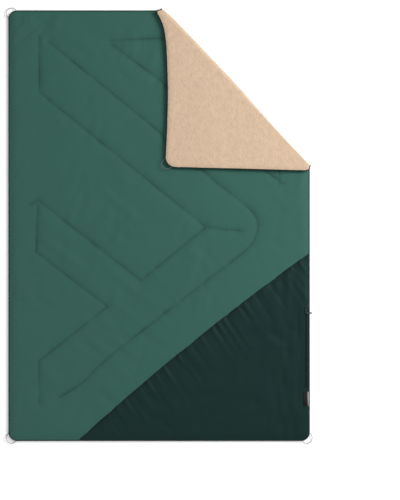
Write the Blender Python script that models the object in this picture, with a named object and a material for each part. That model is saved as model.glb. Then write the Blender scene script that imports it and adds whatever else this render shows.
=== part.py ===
"""Camp blanket: a quilted blanket with a fleece lining, a zipped corner pocket and one corner folded over.

The blanket lies flat, face up, with the origin under the middle of its rectangle. +Y points to the
head end, +X to the right and +Z up. One head corner is folded over a living hinge, so that its
fleece shows. Each cloth layer is a plate of its own, laid on the one below with a small gap.
"""

import math

import bmesh
import bpy
from mathutils import Matrix, Vector

# Overall size of the open blanket.
WIDTH = 1.40
LENGTH = 2.00
CORNER_RADIUS = 0.040

# Layers, from the ground up.
FLEECE_THICKNESS = 0.0080
INSULATION_THICKNESS = 0.0080
SHELL_THICKNESS = 0.0012
LINING_THICKNESS = 0.0008
GAP = 0.0003

# Edge binding: a round cord sewn into the edge all round, its middle just below the fleece top.
BINDING_RADIUS = 0.0030
BINDING_DROP = 0.0015

# Folded head corner.
FOLD_FROM_LEFT = 0.702
FOLD_FROM_HEAD = 0.729
FOLD_BULGE = 0.022
FOLD_TAKE_UP = 0.018
FLAP_SKEW = 0.058

# Pocket at the right foot corner, and its seam across the blanket.
POCKET_ON_RIGHT_EDGE = 0.876
POCKET_ON_FOOT_EDGE = 1.080
SEAM_BULGE = 0.020

# Zip of the pocket, set just inside the right edge.
ZIP_FROM_FOOT = 0.255
ZIP_LENGTH = 0.360
TAPE_WIDTH = 0.0105
TAPE_THICKNESS = 0.0008
COIL_DIAMETER = 0.0022
STOP_LENGTH = 0.0030
STOP_HEIGHT = 0.0026
SLIDER_LENGTH = 0.0120
SLIDER_WALL = 0.0010
SLIDER_PLATE = 0.0012
BAIL_LENGTH = 0.0090
BAIL_WIDTH = 0.0016
BAIL_WALL = 0.0012
BAIL_OPENING = 0.0022
PULL_THICKNESS = 0.0012
PULL_WIDTH = 0.0062
PULL_LENGTH = 0.0160
PULL_HOLE_WIDTH = 0.0034
PULL_HOLE_LENGTH = 0.0052
PULL_TAB_REACH = 0.0240
PULL_TAB_WIDTH = 0.0070
PULL_TAB_THICKNESS = 0.0016

# Corner loops of elastic cord.
LOOP_DIAMETER = 0.0025
LOOP_BULGE = 0.020
LOOP_START_ANGLE = math.radians(8)

# Folded label sewn into the right edge.
LABEL_FROM_FOOT = 0.165
LABEL_LENGTH = 0.065
LABEL_WIDTH = 0.0230
LABEL_THICKNESS = 0.0016

# Values that follow from the ones above.
HALF_WIDTH = WIDTH / 2
HALF_LENGTH = LENGTH / 2
EDGE_INSET = 2 * BINDING_RADIUS + GAP
BINDING_HEIGHT = FLEECE_THICKNESS - BINDING_DROP
INSULATION_BASE = FLEECE_THICKNESS + GAP
FACE_BASE = INSULATION_BASE + INSULATION_THICKNESS + GAP
QUILT_HEIGHT = FACE_BASE + SHELL_THICKNESS
HINGE_HEIGHT = QUILT_HEIGHT + GAP / 2
POCKET_BASE = FACE_BASE + LINING_THICKNESS + GAP
POCKET_TOP = POCKET_BASE + SHELL_THICKNESS
COIL_RADIUS = COIL_DIAMETER / 2
ZIP_EDGE_X = HALF_WIDTH - EDGE_INSET
ZIP_CENTRE_X = ZIP_EDGE_X - TAPE_WIDTH - GAP - COIL_DIAMETER - GAP / 2
ZIP_INNER_X = 2 * ZIP_CENTRE_X - ZIP_EDGE_X
ZIP_BOTTOM_Y = -HALF_LENGTH + ZIP_FROM_FOOT
ZIP_TOP_Y = ZIP_BOTTOM_Y + ZIP_LENGTH

HEAD_POINT = Vector((-HALF_WIDTH + FOLD_FROM_LEFT, HALF_LENGTH))
SIDE_POINT = Vector((HALF_WIDTH, HALF_LENGTH - FOLD_FROM_HEAD))
ALONG_FOLD = (SIDE_POINT - HEAD_POINT).normalized()
ACROSS_FOLD = Vector((-ALONG_FOLD.y, ALONG_FOLD.x))


def reflected(point):
    """Mirror a point of the open blanket over the fold line."""
    away = (point - HEAD_POINT).dot(ACROSS_FOLD)
    return point - 2 * away * ACROSS_FOLD


FLAP_CORNER = (
    reflected(Vector((HALF_WIDTH, HALF_LENGTH)))
    + FLAP_SKEW * ALONG_FOLD
    + FOLD_TAKE_UP * ACROSS_FOLD
)

GREEN = (0.041, 0.119, 0.098, 1)
DARK_GREEN = (0.013, 0.036, 0.034, 1)
BINDING_GREEN = (0.017, 0.045, 0.037, 1)
CREAM = (0.66, 0.49, 0.35, 1)
WHITE = (0.80, 0.80, 0.78, 1)
GREY = (0.42, 0.42, 0.42, 1)
BLACK = (0.012, 0.012, 0.013, 1)
METAL = (0.10, 0.11, 0.11, 1)


def collection(name):
    """Make a collection and link it to the scene."""
    made = bpy.data.collections.new(name)
    bpy.context.scene.collection.children.link(made)
    return made


def finish(item, home, colour, roughness, metallic=0.0, parent=None):
    """Put an object in its collection, give it its own material and its parent."""
    for other in list(item.users_collection):
        other.objects.unlink(item)
    home.objects.link(item)
    material = bpy.data.materials.new(item.name)
    material.use_nodes = True
    shader = material.node_tree.nodes["Principled BSDF"]
    shader.inputs["Base Color"].default_value = colour
    shader.inputs["Roughness"].default_value = roughness
    shader.inputs["Metallic"].default_value = metallic
    item.data.materials.append(material)
    item.parent = parent
    return item


def pivot(name, place, home, parent=None):
    """An empty on a joint's axis; place is in world coordinates."""
    item = bpy.data.objects.new(name, None)
    item.empty_display_size = 0.03
    home.objects.link(item)
    item.parent = parent
    above = world_place(parent)
    item.location = Vector(place) - above
    return item


def world_place(item):
    """World position of an unturned chain of empties."""
    place = Vector((0, 0, 0))
    while item is not None:
        place += item.location
        item = item.parent
    return place


def crossing(first, second):
    """Where two edges meet; an edge is (point, direction, inset to its left)."""
    (p, d, a), (q, e, b) = first, second
    p = p + a * Vector((-d.y, d.x))
    q = q + b * Vector((-e.y, e.x))
    bottom = d.x * e.y - d.y * e.x
    along = ((q.x - p.x) * e.y - (q.y - p.y) * e.x) / bottom
    return p + along * d


def rounded(corners, steps=8):
    """Outline points of a polygon whose corners, (point, radius), are rounded."""
    points = []
    for i, (corner, radius) in enumerate(corners):
        if radius <= 0:
            points.append(corner)
            continue
        back = (corners[i - 1][0] - corner).normalized()
        ahead = (corners[(i + 1) % len(corners)][0] - corner).normalized()
        half = math.acos(max(-1, min(1, back.dot(ahead)))) / 2
        middle = corner + (back + ahead).normalized() * (radius / math.sin(half))
        reach = radius / math.tan(half)
        start = corner + back * reach - middle
        turn = math.pi - 2 * half
        if back.x * ahead.y - back.y * ahead.x > 0:
            turn = -turn
        for k in range(steps + 1):
            angle = turn * k / steps
            points.append(middle + Matrix.Rotation(angle, 2) @ start)
    return points


def plate(name, outlines, base, thickness, home, colour, roughness, parent=None):
    """A flat layer: closed outlines in world coordinates, lying at a height."""
    origin = world_place(parent)
    data = bpy.data.curves.new(name, "CURVE")
    data.dimensions = "2D"
    data.fill_mode = "BOTH"
    data.extrude = thickness / 2
    for outline in outlines:
        spline = data.splines.new("POLY")
        spline.points.add(len(outline) - 1)
        for point, place in zip(spline.points, outline):
            point.co = (place.x - origin.x, place.y - origin.y, 0, 1)
        spline.use_cyclic_u = True
    item = bpy.data.objects.new(name, data)
    item.location.z = base + thickness / 2 - origin.z
    return finish(item, home, colour, roughness, parent=parent)


def tube(name, points, radius, home, colour, roughness, parent=None, sides=2):
    """A round cord through points in world coordinates."""
    origin = world_place(parent)
    data = bpy.data.curves.new(name, "CURVE")
    data.dimensions = "3D"
    data.bevel_depth = radius
    data.bevel_resolution = sides
    data.use_fill_caps = True
    spline = data.splines.new("POLY")
    spline.points.add(len(points) - 1)
    for point, place in zip(spline.points, points):
        point.co = (*(place - origin), 1)
    item = bpy.data.objects.new(name, data)
    return finish(item, home, colour, roughness, parent=parent)


def box(name, low, high, home, colour, roughness, metallic=0.0, parent=None, bevel=0.0):
    """A block between two world corners, with its long edges softened."""
    origin = world_place(parent)
    low, high = Vector(low), Vector(high)
    mesh = bpy.data.meshes.new(name)
    shape = bmesh.new()
    bmesh.ops.create_cube(shape, size=1)
    bmesh.ops.scale(shape, vec=high - low, verts=shape.verts)
    if bevel:
        bmesh.ops.bevel(
            shape, geom=shape.edges[:], offset=bevel, segments=2, profile=0.5, affect="EDGES"
        )
    shape.to_mesh(mesh)
    shape.free()
    item = bpy.data.objects.new(name, mesh)
    item.location = (low + high) / 2 - origin
    return finish(item, home, colour, roughness, metallic, parent)


def body_edges(inset, fold_gap):
    """Edges of the blanket's body, anticlockwise, with the fold closing the cut corner."""
    return {
        "foot": (Vector((0, -HALF_LENGTH)), Vector((1, 0)), inset),
        "right": (Vector((HALF_WIDTH, 0)), Vector((0, 1)), inset),
        "fold": (HEAD_POINT, -ALONG_FOLD, fold_gap),
        "head": (Vector((0, HALF_LENGTH)), Vector((-1, 0)), inset),
        "left": (Vector((-HALF_WIDTH, 0)), Vector((0, -1)), inset),
    }


def body_outline(inset):
    """Outline of a layer that covers the whole body."""
    e = body_edges(inset, GAP)
    radius = CORNER_RADIUS - inset
    return rounded(
        [
            (crossing(e["foot"], e["right"]), radius),
            (crossing(e["right"], e["fold"]), 0),
            (crossing(e["fold"], e["head"]), 0),
            (crossing(e["head"], e["left"]), radius),
            (crossing(e["left"], e["foot"]), radius),
        ]
    )


SEAM_FOOT = Vector((HALF_WIDTH - POCKET_ON_FOOT_EDGE, -HALF_LENGTH))
SEAM_SIDE = Vector((HALF_WIDTH, -HALF_LENGTH + POCKET_ON_RIGHT_EDGE))


def seam_point(t, shift):
    """A point of the pocket's seam, moved off it towards the head by shift."""
    run = SEAM_SIDE - SEAM_FOOT
    out = Vector((-run.y, run.x)).normalized()
    return SEAM_FOOT + t * run + (4 * SEAM_BULGE * t * (1 - t) + shift) * out


def seam_crossing(test, low, high):
    """The seam's parameter at which a growing measure passes zero."""
    for _ in range(50):
        middle = (low + high) / 2
        if test(middle) > 0:
            high = middle
        else:
            low = middle
    return (low + high) / 2


def seam_points(inset, shift, count=16):
    """The seam from the foot edge to the right edge, between the inset edges."""
    start = seam_crossing(lambda t: seam_point(t, shift).y + HALF_LENGTH - inset, -0.2, 0.5)
    end = seam_crossing(lambda t: seam_point(t, shift).x - HALF_WIDTH + inset, 0.5, 1.2)
    return [seam_point(start + (end - start) * k / count, shift) for k in range(count + 1)]


def shell_outline(inset):
    """Outline of the face cloth beside the pocket."""
    e = body_edges(inset, GAP)
    radius = CORNER_RADIUS - inset
    seam = seam_points(inset, GAP / 2)
    rest = [
        (seam[-1], 0),
        (crossing(e["right"], e["fold"]), 0),
        (crossing(e["fold"], e["head"]), 0),
        (crossing(e["head"], e["left"]), radius),
        (crossing(e["left"], e["foot"]), radius),
        (seam[0], 0),
    ]
    return seam[1:-1] + rounded(rest)


def pocket_outline(inset, notch):
    """Outline of a pocket layer, with a notch for the zip in the panel."""
    e = body_edges(inset, GAP)
    seam = seam_points(inset, -GAP / 2)
    right = HALF_WIDTH - inset
    corners = [
        (seam[0], 0),
        (crossing(e["foot"], e["right"]), CORNER_RADIUS - inset),
    ]
    if notch:
        edge = ZIP_INNER_X - GAP
        low = ZIP_BOTTOM_Y - STOP_LENGTH - 2 * GAP
        high = ZIP_TOP_Y + STOP_LENGTH + 2 * GAP
        corners += [
            (Vector((right, low)), 0),
            (Vector((edge, low)), 0),
            (Vector((edge, high)), 0),
            (Vector((right, high)), 0),
        ]
    corners.append((seam[-1], 0))
    return rounded(corners) + seam[-2:0:-1]


def flap_edges(inset):
    """Edges of the folded corner, anticlockwise: head edge, side edge and fold."""
    head = (FLAP_CORNER - HEAD_POINT).normalized()
    side = (SIDE_POINT - FLAP_CORNER).normalized()
    return (
        (HEAD_POINT, head, inset),
        (FLAP_CORNER, side, inset),
        (HEAD_POINT, -ALONG_FOLD, GAP),
    )


def flap_outline(inset):
    """Outline of a layer of the folded corner."""
    head, side, fold = flap_edges(inset)
    return rounded(
        [
            (crossing(head, side), CORNER_RADIUS - inset),
            (crossing(side, fold), 0),
            (crossing(fold, head), 0),
        ]
    )


def lifted(points, height):
    """Flat points as places at a height."""
    return [Vector((p.x, p.y, height)) for p in points]


def spread(points, spacing):
    """Points along a path, never further apart than spacing."""
    out = [points[0]]
    for a, b in zip(points, points[1:]):
        count = max(1, math.ceil((b - a).length / spacing))
        out += [a.lerp(b, k / count) for k in range(1, count + 1)]
    return out


def body_binding_path():
    """The binding's centre line round the body, from the fold at the side to the fold at the head."""
    inset = BINDING_RADIUS
    e = body_edges(inset, 2 * BINDING_RADIUS)
    radius = CORNER_RADIUS - inset
    start = crossing(e["right"], e["fold"])
    end = crossing(e["fold"], e["head"])
    corners = rounded(
        [
            (start, 0),
            (end, 0),
            (crossing(e["head"], e["left"]), radius),
            (crossing(e["left"], e["foot"]), radius),
            (crossing(e["foot"], e["right"]), radius),
        ]
    )
    path = corners[1:] + [corners[0]]
    return spread(lifted(path, BINDING_HEIGHT), 0.25)


def flap_binding_path():
    """The binding's centre line round the folded corner."""
    inset = BINDING_RADIUS
    head, side, _ = flap_edges(inset)
    fold = (HEAD_POINT, -ALONG_FOLD, 2 * BINDING_RADIUS)
    path = rounded(
        [
            (crossing(fold, head), 0),
            (crossing(head, side), CORNER_RADIUS - inset),
            (crossing(side, fold), 0),
        ]
    )
    return spread(lifted(path, 2 * HINGE_HEIGHT - BINDING_HEIGHT), 0.25)


def corner_centre(corner, back, ahead):
    """Centre of a corner's rounding; back and ahead point along its two edges, away from it."""
    half = math.acos(max(-1, min(1, back.dot(ahead)))) / 2
    return corner + (back + ahead).normalized() * (CORNER_RADIUS / math.sin(half))


def loop_path(corner, back, ahead, height, count=18):
    """Centre line of a corner loop, from one edge round the outside of the corner to the other."""
    back, ahead = back.normalized(), ahead.normalized()
    centre = corner_centre(corner, back, ahead)
    out = -(back + ahead).normalized()
    half = (math.pi - math.acos(max(-1, min(1, back.dot(ahead))))) / 2
    reach = half - LOOP_START_ANGLE
    touch = CORNER_RADIUS + GAP + LOOP_DIAMETER / 2
    points = []
    for k in range(count + 1):
        t = k / count
        angle = -reach + 2 * reach * t
        radius = touch + LOOP_BULGE * math.sin(math.pi * t) ** 0.8
        points.append(centre + Matrix.Rotation(angle, 2) @ (out * radius))
    return lifted(points, height)


def add_loop(name, corner, back, ahead, height, home, parent=None):
    """A corner loop on a pivot between its two ends."""
    path = loop_path(corner, back, ahead, height)
    hinge = pivot(name + "_pivot", (path[0] + path[-1]) / 2, home, parent)
    return tube(name, path, LOOP_DIAMETER / 2, home, GREY, 0.7, hinge)


def add_fold_roll(home):
    """The bent strip of quilt at the fold: half of a long, flat ball, fullest in the middle."""
    mesh = bpy.data.meshes.new("fold_roll")
    shape = bmesh.new()
    bmesh.ops.create_uvsphere(shape, u_segments=24, v_segments=24, radius=1)
    bmesh.ops.rotate(
        shape, verts=shape.verts, cent=(0, 0, 0), matrix=Matrix.Rotation(math.pi / 2, 3, "X")
    )
    bmesh.ops.bisect_plane(
        shape,
        geom=shape.verts[:] + shape.edges[:] + shape.faces[:],
        plane_co=(0, 0, 0),
        plane_no=(1, 0, 0),
        dist=0.00001,
        clear_inner=True,
    )
    rim = [edge for edge in shape.edges if edge.is_boundary]
    bmesh.ops.edgeloop_fill(shape, edges=rim)
    long = (SIDE_POINT - HEAD_POINT).length / 2 - EDGE_INSET
    bmesh.ops.scale(shape, vec=(FOLD_BULGE, long, HINGE_HEIGHT - GAP / 2), verts=shape.verts)
    bmesh.ops.recalc_face_normals(shape, faces=shape.faces)
    shape.to_mesh(mesh)
    shape.free()
    item = bpy.data.objects.new("fold_roll", mesh)
    middle = (HEAD_POINT + SIDE_POINT) / 2
    item.location = (middle.x, middle.y, HINGE_HEIGHT)
    item.rotation_euler.z = math.atan2(ACROSS_FOLD.y, ACROSS_FOLD.x)
    return finish(item, home, CREAM, 0.95)


def add_zip(home, hidden):
    """Tapes, coils, stops, slider and pull of the pocket's zip."""
    base = POCKET_BASE
    x = ZIP_CENTRE_X
    near = GAP / 2 + COIL_DIAMETER + GAP
    for name, low, high in (
        ("zip_tape_outer", x + near, ZIP_EDGE_X),
        ("zip_tape_inner", ZIP_INNER_X, x - near),
    ):
        box(
            name,
            (low, ZIP_BOTTOM_Y, base),
            (high, ZIP_TOP_Y, base + TAPE_THICKNESS),
            home,
            DARK_GREEN,
            0.85,
        )
    for name, side in (("zip_coil_outer", 1), ("zip_coil_inner", -1)):
        centre = x + side * (GAP / 2 + COIL_RADIUS)
        ends = [Vector((centre, y, base + COIL_RADIUS)) for y in (ZIP_BOTTOM_Y, ZIP_TOP_Y)]
        tube(name, ends, COIL_RADIUS, home, DARK_GREEN, 0.5)
    half = GAP / 2 + COIL_DIAMETER
    for name, low, high in (
        ("zip_stop_bottom", ZIP_BOTTOM_Y - GAP - STOP_LENGTH, ZIP_BOTTOM_Y - GAP),
        ("zip_stop_top", ZIP_TOP_Y + GAP, ZIP_TOP_Y + GAP + STOP_LENGTH),
    ):
        box(
            name,
            (x - half, low, base),
            (x + half, high, base + STOP_HEIGHT),
            home,
            METAL,
            0.4,
            1.0,
            bevel=0.0004,
        )
    add_slider(home, hidden)


def add_slider(home, hidden):
    """The slider, an upside-down channel over the coils with a bail, and its pull with a tab."""
    inner = GAP / 2 + COIL_DIAMETER + GAP
    outer = inner + SLIDER_WALL
    under = POCKET_BASE + TAPE_THICKNESS + GAP
    roof = POCKET_BASE + COIL_DIAMETER + GAP
    top = roof + SLIDER_PLATE
    centre_y = ZIP_TOP_Y - GAP - SLIDER_LENGTH / 2
    hinge = pivot("slider_pivot", (ZIP_CENTRE_X, centre_y, top), home)

    profile = [
        (-outer, under - top),
        (-inner, under - top),
        (-inner, roof - top),
        (inner, roof - top),
        (inner, under - top),
        (outer, under - top),
        (outer, 0),
        (-outer, 0),
    ]
    data = bpy.data.curves.new("zip_slider", "CURVE")
    data.dimensions = "2D"
    data.fill_mode = "BOTH"
    data.extrude = SLIDER_LENGTH / 2
    spline = data.splines.new("POLY")
    spline.points.add(len(profile) - 1)
    for point, (across, up) in zip(spline.points, profile):
        point.co = (across, up, 0, 1)
    spline.use_cyclic_u = True
    channel = solid_from_curve("zip_slider", data, Matrix.Rotation(math.pi / 2, 4, "X"))

    arch_top = BAIL_OPENING + BAIL_WALL
    half = BAIL_LENGTH / 2
    arch = [
        (-half, -SLIDER_PLATE / 2),
        (-half + BAIL_WALL, -SLIDER_PLATE / 2),
        (-half + BAIL_WALL, BAIL_OPENING),
        (half - BAIL_WALL, BAIL_OPENING),
        (half - BAIL_WALL, -SLIDER_PLATE / 2),
        (half, -SLIDER_PLATE / 2),
        (half, arch_top),
        (-half, arch_top),
    ]
    data = bpy.data.curves.new("bail", "CURVE")
    data.dimensions = "2D"
    data.fill_mode = "BOTH"
    data.extrude = BAIL_WIDTH / 2
    spline = data.splines.new("POLY")
    spline.points.add(len(arch) - 1)
    for point, (across, up) in zip(spline.points, arch):
        point.co = (across, up, 0, 1)
    spline.use_cyclic_u = True
    turn = Matrix.Rotation(math.pi / 2, 4, "Z") @ Matrix.Rotation(math.pi / 2, 4, "X")
    bail = solid_from_curve("bail", data, turn)
    bail.hide_render = True
    bail.display_type = "WIRE"
    hidden.objects.link(bail)
    bail.parent = hinge

    join = channel.modifiers.new("bail", "BOOLEAN")
    join.operation = "UNION"
    join.object = bail
    finish(channel, home, METAL, 0.4, 1.0, hinge)
    add_pull(hinge, top, centre_y, home)


def solid_from_curve(name, data, turn):
    """A closed mesh object from a filled curve, turned into place."""
    carrier = bpy.data.objects.new(name + "_outline", data)
    bpy.context.scene.collection.objects.link(carrier)
    bpy.context.view_layer.update()
    graph = bpy.context.evaluated_depsgraph_get()
    mesh = bpy.data.meshes.new_from_object(carrier.evaluated_get(graph))
    mesh.name = name
    shape = bmesh.new()
    shape.from_mesh(mesh)
    bmesh.ops.remove_doubles(shape, verts=shape.verts, dist=0.00001)
    bmesh.ops.transform(shape, matrix=turn, verts=shape.verts)
    bmesh.ops.recalc_face_normals(shape, faces=shape.faces)
    shape.to_mesh(mesh)
    shape.free()
    bpy.data.objects.remove(carrier)
    bpy.data.curves.remove(data)
    return bpy.data.objects.new(name, mesh)


def add_pull(slider_pivot, slider_top, slider_y, home):
    """The pull, whose eye is threaded by the bail, and the soft tab on its end."""
    bar = PULL_THICKNESS
    axis_y = slider_y - BAIL_LENGTH / 2 + BAIL_WALL + bar + 2 * GAP
    axis_z = slider_top + BAIL_OPENING / 2
    hinge = pivot("pull_pivot", (ZIP_CENTRE_X, axis_y, axis_z), home, slider_pivot)
    half = PULL_WIDTH / 2
    eye = PULL_HOLE_WIDTH / 2
    near = axis_y + bar / 2
    far = near - PULL_LENGTH
    outer = rounded(
        [
            (Vector((ZIP_CENTRE_X - half, near)), 0.0004),
            (Vector((ZIP_CENTRE_X - half, far)), 0.0020),
            (Vector((ZIP_CENTRE_X + half, far)), 0.0020),
            (Vector((ZIP_CENTRE_X + half, near)), 0.0004),
        ],
        steps=4,
    )
    top = near - bar
    hole = [
        Vector((ZIP_CENTRE_X - eye, top)),
        Vector((ZIP_CENTRE_X + eye, top)),
        Vector((ZIP_CENTRE_X + eye, top - PULL_HOLE_LENGTH)),
        Vector((ZIP_CENTRE_X - eye, top - PULL_HOLE_LENGTH)),
    ]
    base = axis_z - PULL_THICKNESS / 2
    plate("zip_pull", [outer, hole], base, PULL_THICKNESS, home, METAL, 0.4, hinge)
    low_x = ZIP_CENTRE_X + half + GAP
    tab_y = far + PULL_TAB_WIDTH / 2
    box(
        "pull_tab",
        (low_x, tab_y - PULL_TAB_WIDTH / 2, axis_z - PULL_TAB_THICKNESS / 2),
        (low_x + PULL_TAB_REACH, tab_y + PULL_TAB_WIDTH / 2, axis_z + PULL_TAB_THICKNESS / 2),
        home,
        DARK_GREEN,
        0.7,
        parent=hinge,
        bevel=0.0005,
    )


def add_label(home):
    """The folded label, hinged where it is sewn to the edge."""
    base = POCKET_TOP + GAP
    right = HALF_WIDTH - EDGE_INSET
    low_y = -HALF_LENGTH + LABEL_FROM_FOOT
    centre = (right, low_y + LABEL_LENGTH / 2, base + LABEL_THICKNESS / 2)
    hinge = pivot("label_pivot", centre, home)
    box(
        "label",
        (right - LABEL_WIDTH, low_y, base),
        (right, low_y + LABEL_LENGTH, base + LABEL_THICKNESS),
        home,
        BLACK,
        0.75,
        parent=hinge,
        bevel=0.0004,
    )


def add_body(home):
    """The layers that lie flat on the ground, and the binding round them."""
    whole = body_outline(EDGE_INSET)
    plate("fleece_main", [whole], 0, FLEECE_THICKNESS, home, CREAM, 0.95)
    plate("insulation_main", [whole], INSULATION_BASE, INSULATION_THICKNESS, home, WHITE, 0.9)
    plate("shell_main", [shell_outline(EDGE_INSET)], FACE_BASE, SHELL_THICKNESS, home, GREEN, 0.8)
    plate(
        "pocket_lining",
        [pocket_outline(EDGE_INSET, notch=False)],
        FACE_BASE,
        LINING_THICKNESS,
        home,
        DARK_GREEN,
        0.8,
    )
    plate(
        "pocket_panel",
        [pocket_outline(EDGE_INSET, notch=True)],
        POCKET_BASE,
        SHELL_THICKNESS,
        home,
        DARK_GREEN,
        0.8,
    )
    tube("binding_main", body_binding_path(), BINDING_RADIUS, home, BINDING_GREEN, 0.8)


def add_flap(home):
    """The folded corner: the same layers upside down, on a pivot along the fold."""
    middle = (HEAD_POINT + SIDE_POINT) / 2
    hinge = pivot("fold_pivot", (middle.x, middle.y, HINGE_HEIGHT), home)
    outline = flap_outline(EDGE_INSET)
    top = 2 * HINGE_HEIGHT
    plate(
        "shell_flap",
        [outline],
        top - FACE_BASE - SHELL_THICKNESS,
        SHELL_THICKNESS,
        home,
        GREEN,
        0.8,
        hinge,
    )
    plate(
        "insulation_flap",
        [outline],
        top - INSULATION_BASE - INSULATION_THICKNESS,
        INSULATION_THICKNESS,
        home,
        WHITE,
        0.9,
        hinge,
    )
    plate(
        "fleece_flap",
        [outline],
        top - FLEECE_THICKNESS,
        FLEECE_THICKNESS,
        home,
        CREAM,
        0.95,
        hinge,
    )
    tube("binding_flap", flap_binding_path(), BINDING_RADIUS, home, BINDING_GREEN, 0.8, hinge)
    add_loop(
        "loop_flap",
        FLAP_CORNER,
        HEAD_POINT - FLAP_CORNER,
        SIDE_POINT - FLAP_CORNER,
        2 * HINGE_HEIGHT - BINDING_HEIGHT,
        home,
        hinge,
    )


def add_loops(home):
    """The three corner loops of the body."""
    for name, x, y in (
        ("loop_head_left", -1, 1),
        ("loop_foot_left", -1, -1),
        ("loop_foot_right", 1, -1),
    ):
        corner = Vector((x * HALF_WIDTH, y * HALF_LENGTH))
        add_loop(name, corner, Vector((-x, 0)), Vector((0, -y)), BINDING_HEIGHT, home)


def main():
    for item in list(bpy.data.objects):
        bpy.data.objects.remove(item)
    home = collection("camp_blanket")
    hidden = collection("cutters")
    add_body(home)
    add_flap(home)
    add_fold_roll(home)
    add_zip(home, hidden)
    add_label(home)
    add_loops(home)


main()
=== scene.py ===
"""Camp blanket: quilted face, fleece lining, zipped corner pocket and one corner folded over.

The blanket lies face up on the floor, with the origin under the middle of its rectangle, +Y
towards the head end and +Z up. Cloth heights are worked out in the flat blanket's own coordinates,
so the quilting runs on without a break from the body to the folded corner.
"""

import logging
import math
from collections.abc import Callable, Sequence
from dataclasses import dataclass
from enum import Enum

import bmesh
import bpy
import numpy as np
from mathutils import Matrix, Vector


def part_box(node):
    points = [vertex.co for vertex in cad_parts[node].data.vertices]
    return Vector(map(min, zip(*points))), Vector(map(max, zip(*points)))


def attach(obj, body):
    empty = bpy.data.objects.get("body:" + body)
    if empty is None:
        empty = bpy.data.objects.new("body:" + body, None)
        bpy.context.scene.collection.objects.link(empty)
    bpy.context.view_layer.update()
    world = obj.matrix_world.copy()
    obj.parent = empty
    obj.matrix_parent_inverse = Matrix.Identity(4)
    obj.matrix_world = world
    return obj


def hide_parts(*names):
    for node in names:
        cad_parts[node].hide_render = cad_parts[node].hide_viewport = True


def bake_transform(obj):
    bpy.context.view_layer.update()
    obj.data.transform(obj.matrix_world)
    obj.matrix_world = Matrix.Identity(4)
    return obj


LOG = logging.getLogger("camp_blanket")

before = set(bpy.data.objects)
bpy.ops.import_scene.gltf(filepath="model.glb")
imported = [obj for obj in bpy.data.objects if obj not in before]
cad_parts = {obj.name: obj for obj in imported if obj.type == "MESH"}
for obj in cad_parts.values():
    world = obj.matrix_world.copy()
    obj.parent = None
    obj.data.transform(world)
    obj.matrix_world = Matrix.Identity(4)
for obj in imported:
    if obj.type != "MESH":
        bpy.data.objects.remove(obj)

Point = tuple[float, float]
Array = np.ndarray
Piece = bpy.types.Object
Mesh = bpy.types.Mesh
Shape = bmesh.types.BMesh
Material = bpy.types.Material
Tree = bpy.types.NodeTree
Node = bpy.types.Node
Socket = bpy.types.NodeSocket


def lattice(x: Array, y: Array, cell: float, seed: int) -> Array:
    """Smooth random values over the plane.

    Args:
        x: Positions across.
        y: Positions along.
        cell: Distance between the random values.
        seed: Which set of random values.

    Returns:
        Values from -1 to 1.
    """
    table = np.random.default_rng(seed).uniform(-1, 1, (64, 64))
    gx, gy = x / cell + 1000, y / cell + 1000
    ix, iy = np.floor(gx).astype(int), np.floor(gy).astype(int)
    fx, fy = gx - ix, gy - iy
    fx, fy = fx * fx * (3 - 2 * fx), fy * fy * (3 - 2 * fy)
    a, b = table[ix % 64, iy % 64], table[(ix + 1) % 64, iy % 64]
    c, d = table[ix % 64, (iy + 1) % 64], table[(ix + 1) % 64, (iy + 1) % 64]
    return (a * (1 - fx) + b * fx) * (1 - fy) + (c * (1 - fx) + d * fx) * fy


def ramp(value: Array, low: float, high: float) -> Array:
    """A smooth step from 0 at low to 1 at high."""
    t = np.clip((value - low) / (high - low), 0, 1)
    return t * t * (3 - 2 * t)


def eased(points: Sequence[Point], parts: int = 4) -> list[Point]:
    """A line eased through its points.

    Args:
        points: The points to pass through.
        parts: Runs between one point and the next.

    Returns:
        Points of the eased line.
    """
    p = [Vector(q) for q in points]
    p = [2 * p[0] - p[1], *p, 2 * p[-1] - p[-2]]
    out = []
    for a, b, c, d in zip(p, p[1:], p[2:], p[3:]):
        for k in range(parts):
            t = k / parts
            out.append(
                0.5 * (2 * b + (c - a) * t + (2 * a - 5 * b + 4 * c - d) * t**2
                       + (3 * b - a - 3 * c + d) * t**3)
            )
    return [(v.x, v.y) for v in [*out, p[-2]]]


# Sizes shared by every piece, in metres.


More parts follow.
